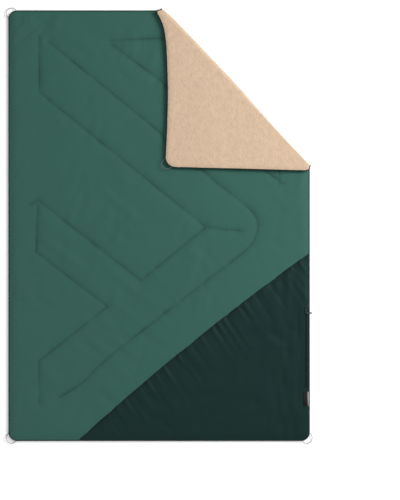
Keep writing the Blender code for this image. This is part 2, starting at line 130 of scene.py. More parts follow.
@dataclass(frozen=True)
class BlanketPlan:
    """Sizes of the blanket and the shapes that follow from them."""

    width: float = 1.40
    length: float = 2.00
    corner_radius: float = 0.040
    face_top: float = 0.0176
    hinge_height: float = 0.01795
    binding_radius: float = 0.0030
    binding_height: float = 0.0065
    cloth_inset: float = 0.0050
    head_point: Point = (0.002, 1.0)
    side_point: Point = (0.70, 0.271)
    flap_corner: Point = (0.024800926, 0.273213804)
    drawn_corner: Point = (0.0280, 0.2655)
    drawn_radius: float = 0.052
    fold_reach: tuple[Point, ...] = (
        (0.0, 0.90), (0.05, 1.04), (0.10, 1.13), (0.46, 1.13), (0.54, 1.00), (0.62, 0.78),
        (0.72, 0.56), (0.85, 0.42), (0.96, 0.38), (1.0, 0.50),
    )
    pocket_foot: Point = (-0.38, -1.0)
    pocket_side: Point = (0.70, -0.124)
    seam_bulge: float = 0.020
    head_edge: tuple[Point, ...] = (
        (0.0280, 0.2655), (0.0270, 0.3060), (0.0290, 0.3600), (0.0325, 0.4400), (0.0352, 0.5300),
        (0.0364, 0.6200), (0.0345, 0.7200), (0.0300, 0.8200), (0.0205, 0.9010), (0.0070, 0.9450),
        (-0.0060, 0.9700), (-0.0125, 0.9850), (-0.0090, 0.9965),
    )
    side_edge: tuple[Point, ...] = (
        (0.0280, 0.2655), (0.0685, 0.2655), (0.1200, 0.2650), (0.2000, 0.2630), (0.3200, 0.2600),
        (0.4600, 0.2562), (0.6000, 0.2525), (0.6600, 0.2512), (0.6850, 0.2525), (0.6965, 0.2590),
    )

    def along(self) -> Vector:
        """Direction of the fold, from the head edge to the side edge."""
        return (Vector(self.side_point) - Vector(self.head_point)).normalized()

    def across(self) -> Vector:
        """Direction square to the fold, away from the body."""
        a = self.along()
        return Vector((-a.y, a.x))

    def edge_distance(self, x: Array, y: Array) -> Array:
        """Distance inside the blanket's rounded rectangle.

        Args:
            x: Positions across the blanket.
            y: Positions along the blanket.

        Returns:
            Distance from the edge, positive inside.
        """
        r = self.corner_radius
        qx = np.abs(x) - (self.width / 2 - r)
        qy = np.abs(y) - (self.length / 2 - r)
        outside = np.hypot(np.maximum(qx, 0), np.maximum(qy, 0))
        return r - outside - np.minimum(np.maximum(qx, qy), 0)

    def fold_distance(self, x: Array, y: Array) -> Array:
        """Distance from the fold line, positive on the body's side.

        Args:
            x: Positions across the blanket.
            y: Positions along the blanket.

        Returns:
            Signed distance from the fold line.
        """
        c = self.across()
        return -((x - self.head_point[0]) * c.x + (y - self.head_point[1]) * c.y)

    def flap_distance(self, x: Array, y: Array) -> Array:
        """Distance inside the folded corner's two outer edges, where it lies folded.

        Args:
            x: Positions across the blanket.
            y: Positions along the blanket.

        Returns:
            Distance from the edges, positive inside, with the corner rounded.
        """
        to_head, to_side, centre = self.flap_rounding()
        head = np.array(eased(self.head_edge, 8))
        side = np.array(eased(self.side_edge, 8))
        slope = np.gradient(head[:, 0], head[:, 1])
        lean = np.interp(y, head[:, 1], slope)
        d_head = (x - np.interp(y, head[:, 1], head[:, 0])) / np.sqrt(1 + lean**2)
        slope = np.gradient(side[:, 1], side[:, 0])
        lean = np.interp(x, side[:, 0], slope)
        d_side = (y - np.interp(x, side[:, 0], side[:, 1])) / np.sqrt(1 + lean**2)
        cx, cy = x - centre.x, y - centre.y
        rounded = (cx * to_head.x + cy * to_head.y < 0) & (cx * to_side.x + cy * to_side.y < 0)
        return np.where(rounded, self.drawn_radius - np.hypot(cx, cy), np.minimum(d_head, d_side))

    def folded_edge(self, x: Array, y: Array) -> Array:
        """Distance inside the folded corner's outer edges and the blanket's own."""
        return np.minimum(self.flap_distance(x, y), self.edge_distance(x, y))

    def flap_rounding(self) -> tuple[Vector, Vector, Vector]:
        """How the folded corner is rounded.

        Returns:
            Its edge directions, to the head and to the side, and the rounding's centre.
        """
        corner = Vector(self.drawn_corner)
        to_head = (Vector(self.head_point) - corner).normalized()
        to_side = (Vector(self.side_point) - corner).normalized()
        half = math.acos(to_head.dot(to_side)) / 2
        reach = self.drawn_radius / math.sin(half)
        return to_head, to_side, corner + (to_head + to_side).normalized() * reach

    def fold_ends(self, inset: float) -> tuple[Vector, Vector]:
        """The two points where the fold meets the blanket's edge.

        Args:
            inset: How far inside the edge they lie.

        Returns:
            The point at the head edge and the point at the side edge.
        """
        c, (hx, hy) = self.across(), self.head_point
        x, y = self.width / 2 - inset, self.length / 2 - inset
        return (Vector((hx + (hy - y) * c.y / c.x, y)), Vector((x, hy - (x - hx) * c.x / c.y)))

    def fold_end(self, x: Array, y: Array) -> Array:
        """Distance from the nearer end of the fold."""
        ends = (self.head_edge[-1], self.side_edge[-1])
        return np.minimum(*(np.hypot(x - a, y - b) for a, b in ends))

    def seam_place(self, x: Array, y: Array) -> tuple[Array, Array]:
        """Where points lie against the pocket's seam.

        Args:
            x: Positions across the blanket.
            y: Positions along the blanket.

        Returns:
            Distance from the seam, positive towards the head, and distance along it.
        """
        start, end = Vector(self.pocket_foot), Vector(self.pocket_side)
        run = end - start
        long = run.length
        u = run / long
        t = ((x - start.x) * u.x + (y - start.y) * u.y) / long
        away = -(x - start.x) * u.y + (y - start.y) * u.x
        return away - 4 * self.seam_bulge * t * (1 - t), t * long

    def unfolded(self, x: Array, y: Array) -> tuple[Array, Array]:
        """Where points of the folded corner lie once the blanket is open.

        Args:
            x: Positions across, with the corner folded.
            y: Positions along, with the corner folded.

        Returns:
            The same points' places on the open blanket.
        """
        head, side, tip = (Vector(p) for p in (self.head_point, self.side_point, self.flap_corner))
        opened = Vector((self.width / 2, self.length / 2))
        folded = Matrix(((side.x - head.x, tip.x - head.x), (side.y - head.y, tip.y - head.y)))
        flat = Matrix(((side.x - head.x, opened.x - head.x), (side.y - head.y, opened.y - head.y)))
        m = flat @ folded.inverted()
        dx, dy = x - head.x, y - head.y
        return head.x + m[0][0] * dx + m[0][1] * dy, head.y + m[1][0] * dx + m[1][1] * dy


PLAN = BlanketPlan()

# Lowest and highest corners of the nets that the cloths are trimmed from.
WHOLE_NET: tuple[Point, Point] = ((-0.70, -1.0), (0.70, 1.0))
CORNER_NET: tuple[Point, Point] = ((-0.05, 0.20), (0.70, 1.0))
POCKET_NET: tuple[Point, Point] = ((-0.40, -1.0), (0.70, -0.10))


class Quilting:
    """The stitched lines of the face, in the open blanket's coordinates."""

    FRAME_LINE: tuple[Point, ...] = (
        (-0.557, 0.878), (-0.557, 0.620), (0.216, -0.008), (-0.086, -0.256), (-0.565, 0.120),
        (-0.600, 0.096),
    )
    LEFT_LINE: tuple[Point, ...] = (
        (-0.565, 0.087), (-0.571, -0.124), (-0.240, -0.375), (-0.557, -0.628), (-0.557, -0.820),
    )
    SPUR: tuple[Point, ...] = ((0.216, -0.008), (0.376, -0.024))
    HILL_LINE: tuple[Point, ...] = (
        (-0.513, 0.852), (-0.019, 0.451), (0.023, 0.413), (0.213, 0.248), (0.272, 0.194),
        (0.353, 0.131), (0.423, 0.073), (0.448, 0.038), (0.458, -0.001), (0.446, -0.055),
        (0.423, -0.094), (0.353, -0.155), (0.248, -0.234), (0.167, -0.299), (0.074, -0.369),
        (-0.089, -0.496), (-0.170, -0.559), (-0.275, -0.648), (-0.356, -0.729), (-0.461, -0.796),
    )
    RIDGE_LINE: tuple[Point, ...] = (
        (-0.217, 0.837), (0.023, 0.659), (0.504, 0.248), (0.574, 0.194),
    )
    HEAD_LINE: tuple[Point, ...] = (
        (-0.228, 0.859), (0.027, 0.871), (0.111, 0.866), (0.558, 0.866), (0.558, 0.194),
    )

    def __init__(self) -> None:
        """Cut the lines into short straight runs."""
        self.lines = [
            self.FRAME_LINE, self.LEFT_LINE, self.SPUR, eased(self.HILL_LINE),
            self.RIDGE_LINE, self.HEAD_LINE,
        ]

    def place(self, x: Array, y: Array) -> tuple[Array, Array]:
        """Where points lie against the nearest stitched line.

        Args:
            x: Positions across the open blanket.
            y: Positions along the open blanket.

        Returns:
            Distance from the line, negative on its right, and distance along it.
        """
        best = np.full(x.shape, 9.0)
        side, along = np.ones(x.shape), np.zeros(x.shape)
        for line in self.lines:
            gone = 0.0
            for (ax, ay), (bx, by) in zip(line, line[1:]):
                ux, uy = bx - ax, by - ay
                long = math.hypot(ux, uy)
                ux, uy = ux / long, uy / long
                s = np.clip((x - ax) * ux + (y - ay) * uy, 0, long)
                away = np.hypot(x - ax - s * ux, y - ay - s * uy)
                near = away < best
                turn = (y - ay) * ux - (x - ax) * uy
                best = np.where(near, away, best)
                side = np.where(near, np.where(turn < 0, -1.0, 1.0), side)
                along = np.where(near, gone + s, along)
                gone += long
        return best * side, along


QUILTING = Quilting()


@dataclass(frozen=True)
class FaceShape:
    """How high the face stands over the floor."""

    edge_height: float = 0.0080
    edge_width: float = 0.045
    tight_width: float = 0.0085
    groove_depth: float = 0.0046
    groove_width: float = 0.019
    drift: float = 0.0016
    binding_cover: float = 0.003
    bow: float = 2.2
    panel_height: float = 0.0160
    panel_limit: float = 0.0198
    zip_height: float = 0.0178
    gather: float = 0.0054
    under_lift: float = 0.0050
    under_width: float = 0.025

    def bowed(self, d: Array, wide: Array | float) -> Array:
        """Share of the full height at a distance from the edge.

        Args:
            d: Distance inside the edge.
            wide: Width over which the cloth swells.

        Returns:
            0 in the binding to 1 on the flat.
        """
        return 1 - (1 - np.clip((d - self.binding_cover) / wide, 0, 1)) ** self.bow

    def edge_rise(self, x: Array, y: Array) -> Array:
        """Share of the full height at a point near the edge.

        Args:
            x: Positions across the open blanket.
            y: Positions along the open blanket.

        Returns:
            0 in the binding to 1 on the flat.
        """
        zip_side = ramp(y, -0.97, -0.87) * (1 - ramp(y, -0.35, -0.25)) * ramp(x, 0.55, 0.62)
        wide = self.edge_width * (1 - zip_side) + self.tight_width * zip_side
        return self.bowed(PLAN.edge_distance(x, y), wide)

    def quilt(self, x: Array, y: Array) -> Array:
        """Height of the quilted face.

        Args:
            x: Positions across the open blanket.
            y: Positions along the open blanket.

        Returns:
            Heights over the floor.
        """
        d, along = QUILTING.place(x, y)
        d = np.abs(d)
        groove = np.exp(-((d / self.groove_width) ** 1.15))
        groove *= 0.8 + 0.2 * lattice(along, d * 0, 0.09, 12)
        pucker = np.exp(-d / 0.026) * (1 - np.exp(-d / 0.006))
        pucker *= lattice(along, d * 0.25, 0.013, 11) * 0.0011
        drift = lattice(x, y, 0.21, 1) * 0.6 + lattice(x, y, 0.085, 2) * 0.4
        wrinkle = self.wrinkles(x, y) + self.rumple(x, y, 51) * 0.0016
        top = PLAN.face_top - 0.0006 - self.drift + self.drift * drift
        high = top - self.groove_depth * groove + pucker + wrinkle
        return np.minimum(
            self.edge_height + (high - self.edge_height) * self.edge_rise(x, y), PLAN.face_top
        )

    @staticmethod
    def rumple(x: Array, y: Array, seed: int) -> Array:
        """Faint long creases in patches, running three ways.

        Args:
            x: Positions across the open blanket.
            y: Positions along the open blanket.
            seed: Which set of creases.

        Returns:
            Values that mostly lie between -1 and 1.
        """
        total = np.zeros(x.shape)
        for k, degrees in enumerate((18, 74, -38)):
            c, s = math.cos(math.radians(degrees)), math.sin(math.radians(degrees))
            u, v = (x * c + y * s) * 0.36, -x * s + y * c
            patch = ramp(lattice(x, y, 0.17, seed + 10 + k), -0.15, 0.55)
            total += lattice(u, v, 0.034, seed + k) * patch
        return total

    @staticmethod
    def wrinkles(x: Array, y: Array) -> Array:
        """Loose creases where the edge and the stitching pull the cloth.

        Args:
            x: Positions across the open blanket.
            y: Positions along the open blanket.

        Returns:
            Height added by the creases.
        """
        total = np.zeros(x.shape)
        for cx, cy, angle, long, wide, high in (
            (-0.655, 0.760, 20, 0.10, 0.013, 0.0016), (-0.650, 0.715, 8, 0.09, 0.012, -0.0015),
            (-0.590, 0.905, 42, 0.10, 0.011, -0.0022), (-0.625, 0.930, 46, 0.08, 0.010, 0.0016),
            (-0.600, 0.820, 12, 0.10, 0.012, 0.0015), (-0.520, 0.945, 62, 0.07, 0.011, -0.0014),
            (-0.335, 0.000, 35, 0.12, 0.030, -0.0022), (-0.150, -0.450, 60, 0.13, 0.018, 0.0014),
            (-0.090, -0.620, 75, 0.14, 0.016, -0.0014), (-0.200, -0.700, 52, 0.11, 0.015, 0.0012),
            (0.560, 0.050, 80, 0.16, 0.020, -0.0015), (0.400, -0.200, 38, 0.12, 0.017, 0.0013),
            (-0.640, -0.350, -6, 0.10, 0.014, -0.0014), (-0.630, -0.860, 12, 0.09, 0.013, 0.0012),
        ):
            c, s = math.cos(math.radians(angle)), math.sin(math.radians(angle))
            u, v = (x - cx) * c + (y - cy) * s, -(x - cx) * s + (y - cy) * c
            total += high * np.exp(-((u / long) ** 2) - ((v / wide) ** 2))
        return total

    def panel(self, x: Array, y: Array) -> Array:
        """Height of the pocket's outer cloth.

        Args:
            x: Positions across the open blanket.
            y: Positions along the open blanket.

        Returns:
            Heights over the floor.
        """
        away, along = PLAN.seam_place(x, y)
        off = np.maximum(-away, 0)
        gather = lattice(along + 0.10 * off, off * 0.12, 0.017, 21) * np.exp(-off / 0.085)
        gather += 0.35 * lattice(along, off * 0.2, 0.0095, 25) * np.exp(-off / 0.030)
        gather *= self.gather * (1 - np.exp(-off / 0.006))
        wave = lattice(x, y * 0.22, 0.026, 22) * ramp(x, 0.40, 0.58) * 0.0026
        drift = (lattice(x, y, 0.16, 23) * 0.6 + lattice(x, y, 0.07, 24) * 0.4) * 0.0016
        drift += self.rumple(x, y, 81) * 0.0020
        sunk = 0.0024 * np.exp(-((off / 0.010) ** 1.2))
        high = self.panel_height + drift - sunk + gather + wave
        flat = ramp(x, 0.640, 0.660) * ramp(y, -0.88, -0.85) * (1 - ramp(y, -0.37, -0.34))
        high = high * (1 - flat) + self.zip_height * flat
        return np.minimum(
            self.edge_height + (high - self.edge_height) * self.edge_rise(x, y), self.panel_limit
        )

    def under(self, d: Array) -> Array:
        """Height of the fleece's underside at a distance from the edge."""
        inward = np.clip((d - self.binding_cover) / self.under_width, 0, 1)
        return self.under_lift * (1 - inward) ** self.bow


FACE = FaceShape()


# Shapes.


def mesh_from(name: str, shape: Shape) -> Piece:
    """Turn a finished bmesh into an object at the origin.

    Args:
        name: The piece's name.
        shape: Its shape, in place. It is freed.

    Returns:
        The new object.
    """
    mesh = bpy.data.meshes.new(name)
    shape.to_mesh(mesh)
    shape.free()
    mesh.polygons.foreach_set("use_smooth", np.ones(len(mesh.polygons), bool))
    item = bpy.data.objects.new(name, mesh)
    bpy.context.scene.collection.objects.link(item)
    return item


def coordinates(mesh: Mesh) -> Array:
    """Read every vertex's place.

    Args:
        mesh: The mesh.

    Returns:
        One row for each vertex.
    """
    co = np.zeros(len(mesh.vertices) * 3)
    mesh.vertices.foreach_get("co", co)
    return co.reshape(-1, 3)


def set_coordinates(mesh: Mesh, co: Array) -> None:
    """Put every vertex in its place, one row each."""
    mesh.vertices.foreach_set("co", co.astype(np.float32).ravel())
    mesh.update()


def mark(mesh: Mesh, name: str, values: Array) -> None:
    """Keep a value, or three, for each vertex, for the materials to read.

    Args:
        mesh: The mesh to mark.
        name: The attribute's name.
        values: One number, or one row of three, for each vertex.
    """
    several = values.ndim == 2
    made = mesh.attributes.new(name, "FLOAT_VECTOR" if several else "FLOAT", "POINT")
    made.data.foreach_set("vector" if several else "value", values.astype(np.float32).ravel())


def cloth_grid(
    net: tuple[Point, Point], cell: float, inside: Callable[[Array, Array], Array]
) -> Shape:
    """A flat net of small squares, trimmed to an outline.

    Args:
        net: Lowest and highest corners of the net.
        cell: Size of a square.
        inside: Distance inside the outline for places across and along.

    Returns:
        The net, at height 0.
    """
    low, high = net
    wide, long = high[0] - low[0], high[1] - low[1]
    shape = bmesh.new()
    bmesh.ops.create_grid(
        shape, x_segments=round(wide / cell), y_segments=round(long / cell), size=0.5
    )
    bmesh.ops.scale(shape, vec=(wide, long, 1), verts=shape.verts)
    bmesh.ops.translate(
        shape, vec=((low[0] + high[0]) / 2, (low[1] + high[1]) / 2, 0), verts=shape.verts
    )
    co = np.array([v.co[:2] for v in shape.verts])
    gone = inside(co[:, 0], co[:, 1]) < -0.6 * cell
    bmesh.ops.delete(
        shape, geom=[v for v, out in zip(shape.verts, gone) if out], context="VERTS"
    )
    loose = [v for v in shape.verts if not v.link_faces]
    bmesh.ops.delete(shape, geom=loose, context="VERTS")
    rim = [v for v in shape.verts if v.is_boundary]
    co = np.array([v.co[:2] for v in rim])
    step = cell * 0.05
    for _ in range(4):
        x, y = co[:, 0], co[:, 1]
        d = inside(x, y)
        gx = inside(x + step, y) - inside(x - step, y)
        gy = inside(x, y + step) - inside(x, y - step)
        size = np.maximum(np.hypot(gx, gy), 1e-9)
        co = np.stack((x - d * gx / size, y - d * gy / size), axis=1)
    for vert, (x, y) in zip(rim, co):
        vert.co.x, vert.co.y = x, y
    return shape


def frames_along(points: Sequence[Vector], closed: bool = False) -> list[Matrix]:
    """Places across a path, each with its Z along the path and its X level.

    Args:
        points: The path.
        closed: Whether the path comes back to its start.

    Returns:
        One placing matrix for each point.
    """
    out = []
    count = len(points)
    side = None
    for i, point in enumerate(points):
        if closed:
            ahead, back = points[(i + 1) % count], points[i - 1]
        else:
            ahead, back = points[min(i + 1, count - 1)], points[max(i - 1, 0)]
        run = (ahead - back).normalized()
        if side is None:
            side = run.cross(Vector((0, 0, 1)))
            side = side.normalized() if side.length > 0.1 else Vector((1, 0, 0))
        side = (side - side.dot(run) * run).normalized()
        up = run.cross(side)
        turn = Matrix((side, up, run)).transposed().to_4x4()
        out.append(Matrix.Translation(point) @ turn)
    return out


def sweep(
    name: str,
    points: Sequence[Vector],
    radius: float,
    sides: int = 10,
    closed: bool = False,
) -> Piece:
    """A round cord along a path, made by drawing out a circle.

    Args:
        name: The piece's name.
        points: The cord's middle line.
        radius: Half the cord's thickness.
        sides: Corners of its section.
        closed: Whether it comes back to its start.

    Returns:
        The cord, marked with its way along and round.
    """
    places = frames_along(points, closed)
    shape = bmesh.new()
    run = shape.verts.layers.float_vector.new("run")
    ring = bmesh.ops.create_circle(shape, segments=sides, radius=radius, cap_ends=False)["verts"]
    base = [v.co.copy() for v in ring]
    edges = list({e for v in ring for e in v.link_edges})
    start_edges = edges
    gone = 0.0
    for i, place in enumerate(places):
        if i:
            gone += (points[i] - points[i - 1]).length
            grown = bmesh.ops.extrude_edge_only(shape, edges=edges)["geom"]
            edges = [g for g in grown if isinstance(g, bmesh.types.BMEdge)]
            fresh = {g for g in grown if isinstance(g, bmesh.types.BMVert)}
            drawn = {e.other_vert(v): v for v in fresh for e in v.link_edges
                     if e.other_vert(v) not in fresh}
            edges = [e for e in edges if all(v in fresh for v in e.verts)]
            ring = [drawn[v] for v in ring]
        for vert, rest in zip(ring, base):
            vert.co = place @ Vector((rest.x, rest.y, 0))
            vert[run] = Vector((rest.x / radius, rest.y / radius, gone))
    if closed:
        bmesh.ops.bridge_loops(shape, edges=start_edges + edges)
    else:
        bmesh.ops.holes_fill(shape, edges=[e for e in shape.edges if e.is_boundary], sides=0)
    bmesh.ops.recalc_face_normals(shape, faces=shape.faces)
    return mesh_from(name, shape)


def scatter(name: str, template: Mesh, places: Sequence[Matrix]) -> Piece:
    """Many copies of a small shape as one piece.

    Args:
        name: The piece's name.
        template: The small shape.
        places: Where each copy goes.

    Returns:
        The new piece.
    """
    shape = bmesh.new()
    for place in places:
        template.transform(place)
        shape.from_mesh(template)
        template.transform(place.inverted())
    return mesh_from(name, shape)


STITCH_SHARE = 0.82  # Length of a stitch as a share of its pitch.


def stitch_shape(long: float, thick: float) -> Mesh:
    """One stitch of sewing thread, lying along X and thinner towards its ends.

    Args:
        long: Its length.
        thick: The thread's thickness.

    Returns:
        The stitch.
    """
    shape = bmesh.new()
    bmesh.ops.create_uvsphere(shape, u_segments=5, v_segments=4, radius=0.5)
    bmesh.ops.rotate(
        shape, verts=shape.verts, cent=(0, 0, 0), matrix=Matrix.Rotation(math.pi / 2, 3, "Y")
    )
    bmesh.ops.scale(shape, vec=(long, thick, thick), verts=shape.verts)
    mesh = bpy.data.meshes.new("stitch")
    shape.to_mesh(mesh)
    shape.free()
    return mesh


def stitch_places(
    line: Sequence[Point], pitch: float, height: Callable[[Array, Array], Array]
) -> list[Matrix]:
    """Places for stitches along a line on the cloth.

    Args:
        line: The sewn line.
        pitch: Distance from one stitch to the next.
        height: Height of the cloth for places across and along.

    Returns:
        One placing matrix for each stitch.
    """
    flat = []
    for (ax, ay), (bx, by) in zip(line, line[1:]):
        long = math.hypot(bx - ax, by - ay)
        count = max(1, round(long / pitch))
        for k in range(count):
            t = (k + 0.5) / count
            flat.append((ax + (bx - ax) * t, ay + (by - ay) * t, math.atan2(by - ay, bx - ax)))
    rows = np.array(flat)
    x, y, turn = rows[:, 0], rows[:, 1], rows[:, 2]
    z = height(x, y)
    half = pitch * 0.35
    rise = height(x + half * np.cos(turn), y + half * np.sin(turn)) - height(
        x - half * np.cos(turn), y - half * np.sin(turn)
    )
    tilt = np.arctan2(rise, 2 * half)
    return [
        Matrix.Translation((a, b, c)) @ Matrix.Rotation(d, 4, "Z") @ Matrix.Rotation(-e, 4, "Y")
        for a, b, c, d, e in zip(x, y, z, turn, tilt)
    ]


# Finishes.

Colour = tuple[float, float, float]


class Effect(Enum):
    """Surface effects that several materials share, named as their node groups are."""

    WEAVE = "woven threads"
    MOTTLE = "dye and handling"
    CREASE = "sewn crease"
    PILE = "fleece pile"


class Nodes:
    """A small helper that adds and joins nodes."""

    def __init__(self, tree: Tree) -> None:
        """Work on one node tree."""
        self.tree = tree

    def add(self, kind: str, **settings: object) -> Node:
        """Add a node.

        Args:
            kind: Its type.
            **settings: Its own settings.

        Returns:
            The node.
        """
        node = self.tree.nodes.new(kind)
        for key, value in settings.items():
            setattr(node, key, value)
        return node

    def join(self, source: object, target: Socket) -> None:
        """Feed a socket from another, or give it a plain value.

        Args:
            source: The other socket, or the value.
            target: The socket that is fed.
        """
        if isinstance(source, Socket):
            self.tree.links.new(source, target)
        else:
            target.default_value = source

    def math(self, operation: str, *values: object) -> Socket:
        """Add a Math node.

        Args:
            operation: What it works out.
            *values: Its inputs.

        Returns:
            Its output.
        """
        node = self.add("ShaderNodeMath", operation=operation)
        for socket, value in zip(node.inputs, values):
            self.join(value, socket)
        return node.outputs[0]

    def noise(self, vector: object, scale: float, detail: float = 2.0) -> Socket:
        """Add a noise pattern.

        Args:
            vector: Where it is read.
            scale: How fine it is.
            detail: How many finer layers it has.

        Returns:
            Its value.
        """
        node = self.add("ShaderNodeTexNoise")
        self.join(vector, node.inputs["Vector"])
        node.inputs["Scale"].default_value = scale
        node.inputs["Detail"].default_value = detail
        return node.outputs[0]

    def blend(self, factor: object, first: object, second: object) -> Socket:
        """Mix two colours.

        Args:
            factor: Share of the second colour.
            first: The first colour.
            second: The second colour.

        Returns:
            The mixed colour.
        """
        node = self.add("ShaderNodeMix", data_type="RGBA")
        for socket, value in zip((node.inputs[0], node.inputs[6], node.inputs[7]),
                                 (factor, first, second)):
            self.join(value, socket)
        return node.outputs[2]

    def span(self, value: object, low: float, high: float, a: float, b: float
             ) -> Socket:
        """Map a value from one range to another, clamped.

        Args:
            value: The value.
            low: Start of its range.
            high: End of its range.
            a: What the start becomes.
            b: What the end becomes.

        Returns:
            The mapped value.
        """
        node = self.add("ShaderNodeMapRange")
        for socket, given in zip(node.inputs, (value, low, high, a, b)):
            self.join(given, socket)
        return node.outputs[0]

    def attribute(self, name: str) -> Node:
        """Read one of the piece's own attributes."""
        return self.add("ShaderNodeAttribute", attribute_name=name)


def make_group(
    effect: Effect, inputs: dict[str, tuple[str, object]], outputs: dict[str, str]
) -> tuple[Tree, Nodes, Node, Node]:
    """Start a shader node group.

    Args:
        effect: The effect it makes.
        inputs: Each input's kind and starting value.
        outputs: Each output's kind.

    Returns:
        The group, its helper, its input node and its output node.
    """
    tree = bpy.data.node_groups.new(effect.value, "ShaderNodeTree")
    for label, (kind, value) in inputs.items():
        socket = tree.interface.new_socket(label, in_out="INPUT", socket_type=kind)
        if value is not None:
            socket.default_value = value
    for label, kind in outputs.items():
        tree.interface.new_socket(label, in_out="OUTPUT", socket_type=kind)
    nodes = Nodes(tree)
    return tree, nodes, nodes.add("NodeGroupInput"), nodes.add("NodeGroupOutput")


def weave_group() -> Tree:
    """Woven threads: over and under in both directions, with uneven yarn.

    Returns:
        The group, with a height and a shade.
    """
    tree, n, given, out = make_group(
        Effect.WEAVE,
        {"Vector": ("NodeSocketVector", None), "Threads": ("NodeSocketFloat", 1800.0),
         "Across": ("NodeSocketFloat", 1.0)},
        {"Height": "NodeSocketFloat", "Shade": "NodeSocketFloat"},
    )
    split = n.add("ShaderNodeSeparateXYZ")
    n.join(given.outputs["Vector"], split.inputs[0])
    threads = given.outputs["Threads"]
    a = n.math("SINE", n.math("MULTIPLY", split.outputs[0], threads))
    b = n.math("SINE", n.math("MULTIPLY", n.math("MULTIPLY", split.outputs[1], threads),
                              given.outputs["Across"]))
    cross = n.math("ABSOLUTE", n.math("MULTIPLY", a, b))
    yarn = n.noise(given.outputs["Vector"], 420.0, 3.0)
    height = n.math("MULTIPLY_ADD", yarn, 0.5, n.math("MULTIPLY", cross, 0.5))
    n.join(height, out.inputs["Height"])
    n.join(n.span(height, 0.1, 0.8, 0.93, 1.05), out.inputs["Shade"])
    return tree


def mottle_group() -> Tree:
    """Slow changes of colour over a cloth, from handling and dye.

    Returns:
        The group, with a shade.
    """
    tree, n, given, out = make_group(
        Effect.MOTTLE,
        {"Vector": ("NodeSocketVector", None), "Amount": ("NodeSocketFloat", 0.06)},
        {"Shade": "NodeSocketFloat"},
    )
    wide = n.noise(given.outputs["Vector"], 5.0, 3.0)
    fine = n.noise(given.outputs["Vector"], 70.0, 4.0)
    mixed = n.math("MULTIPLY_ADD", fine, 0.4, n.math("MULTIPLY", wide, 0.6))
    offset = n.math("MULTIPLY", n.math("SUBTRACT", mixed, 0.5), given.outputs["Amount"])
    n.join(n.math("MULTIPLY_ADD", offset, 2.0, 1.0), out.inputs["Shade"])
    return tree


def crease_group() -> Tree:
    """The tight crease of a sewn line, and the small puckers beside it.

    Returns:
        The group, with a height in metres and a mask of the crease, which the cloths use to paint
        shade into their colour.
    """
    tree, n, given, out = make_group(
        Effect.CREASE,
        {"Away": ("NodeSocketFloat", 0.0), "Along": ("NodeSocketFloat", 0.0),
         "Near": ("NodeSocketFloat", 0.0), "Width": ("NodeSocketFloat", 0.0028),
         "Reach": ("NodeSocketFloat", 0.012), "Pucker": ("NodeSocketFloat", 0.0004)},
        {"Height": "NodeSocketFloat", "Mask": "NodeSocketFloat"},
    )
    away = n.math("ABSOLUTE", given.outputs["Away"])
    share = n.math("DIVIDE", away, given.outputs["Width"])
    square = n.math("MULTIPLY", share, share)
    tight = n.math("MULTIPLY", n.math("EXPONENT", n.math("MULTIPLY", square, -1.0)), 0.6)
    soft = n.math("MULTIPLY", n.math("EXPONENT", n.math("MULTIPLY", square, -0.06)), 0.4)
    way = n.add("ShaderNodeCombineXYZ")
    n.join(n.math("MULTIPLY", given.outputs["Along"], 9.0), way.inputs[0])
    pull = n.span(n.noise(way.outputs[0], 1.0, 2.0), 0.36, 0.62, 0.22, 1.0)
    # The mask sinks the crease, and it also marks where painted shade darkens the cloth's colour.
    mask = n.math("MULTIPLY", n.math("ADD", tight, soft),
                  n.math("MULTIPLY", given.outputs["Near"], pull))
    place = n.add("ShaderNodeCombineXYZ")
    n.join(n.math("MULTIPLY", given.outputs["Along"], 150.0), place.inputs[0])
    n.join(n.math("MULTIPLY", away, 28.0), place.inputs[1])
    bumps = n.math("SUBTRACT", n.noise(place.outputs[0], 1.0, 2.0), 0.5)
    fade = n.math("EXPONENT", n.math("MULTIPLY", n.math("DIVIDE", away, given.outputs["Reach"]),
                                     -1.0))
    pucker = n.math("MULTIPLY", n.math("MULTIPLY", bumps, fade),
                    n.math("MULTIPLY", given.outputs["Pucker"], given.outputs["Near"]))
    n.join(n.math("MULTIPLY_ADD", mask, -0.0009, pucker), out.inputs["Height"])
    n.join(mask, out.inputs["Mask"])
    return tree


def pile_group() -> Tree:
    """Brushed fleece: small tufts and the way the pile lies.

    Returns:
        The group, with a height and a shade.
    """
    tree, n, given, out = make_group(
        Effect.PILE,
        {"Vector": ("NodeSocketVector", None)},
        {"Height": "NodeSocketFloat", "Shade": "NodeSocketFloat"},
    )
    tufts = n.add("ShaderNodeTexVoronoi", feature="F1")
    n.join(given.outputs["Vector"], tufts.inputs["Vector"])
    tufts.inputs["Scale"].default_value = 330.0
    fuzz = n.noise(given.outputs["Vector"], 900.0, 4.0)
    lie = n.noise(given.outputs["Vector"], 38.0, 3.0)
    clump = n.noise(given.outputs["Vector"], 150.0, 3.0)
    height = n.math("ADD", n.math("MULTIPLY", tufts.outputs["Distance"], -0.5),
                    n.math("MULTIPLY_ADD", fuzz, 0.5, clump))
    n.join(height, out.inputs["Height"])
    tone = n.math("MULTIPLY_ADD", lie, 0.5, n.math("MULTIPLY", clump, 0.5))
    n.join(n.span(tone, 0.3, 0.7, 0.87, 1.1), out.inputs["Shade"])
    return tree


MAKERS = {Effect.WEAVE: weave_group, Effect.MOTTLE: mottle_group, Effect.CREASE: crease_group,
          Effect.PILE: pile_group}
GROUPS: dict[Effect, Tree] = {}


def group(n: Nodes, effect: Effect, **values: object) -> Node:
    """Place a shared node group, building it the first time.

    Args:
        n: The helper of the tree it goes in.
        effect: Which effect.
        **values: Its inputs, by name.

    Returns:
        The group's node.
    """
    if effect not in GROUPS:
        GROUPS[effect] = MAKERS[effect]()
    node = n.add("ShaderNodeGroup", node_tree=GROUPS[effect])
    for label, value in values.items():
        n.join(value, node.inputs[label])
    return node


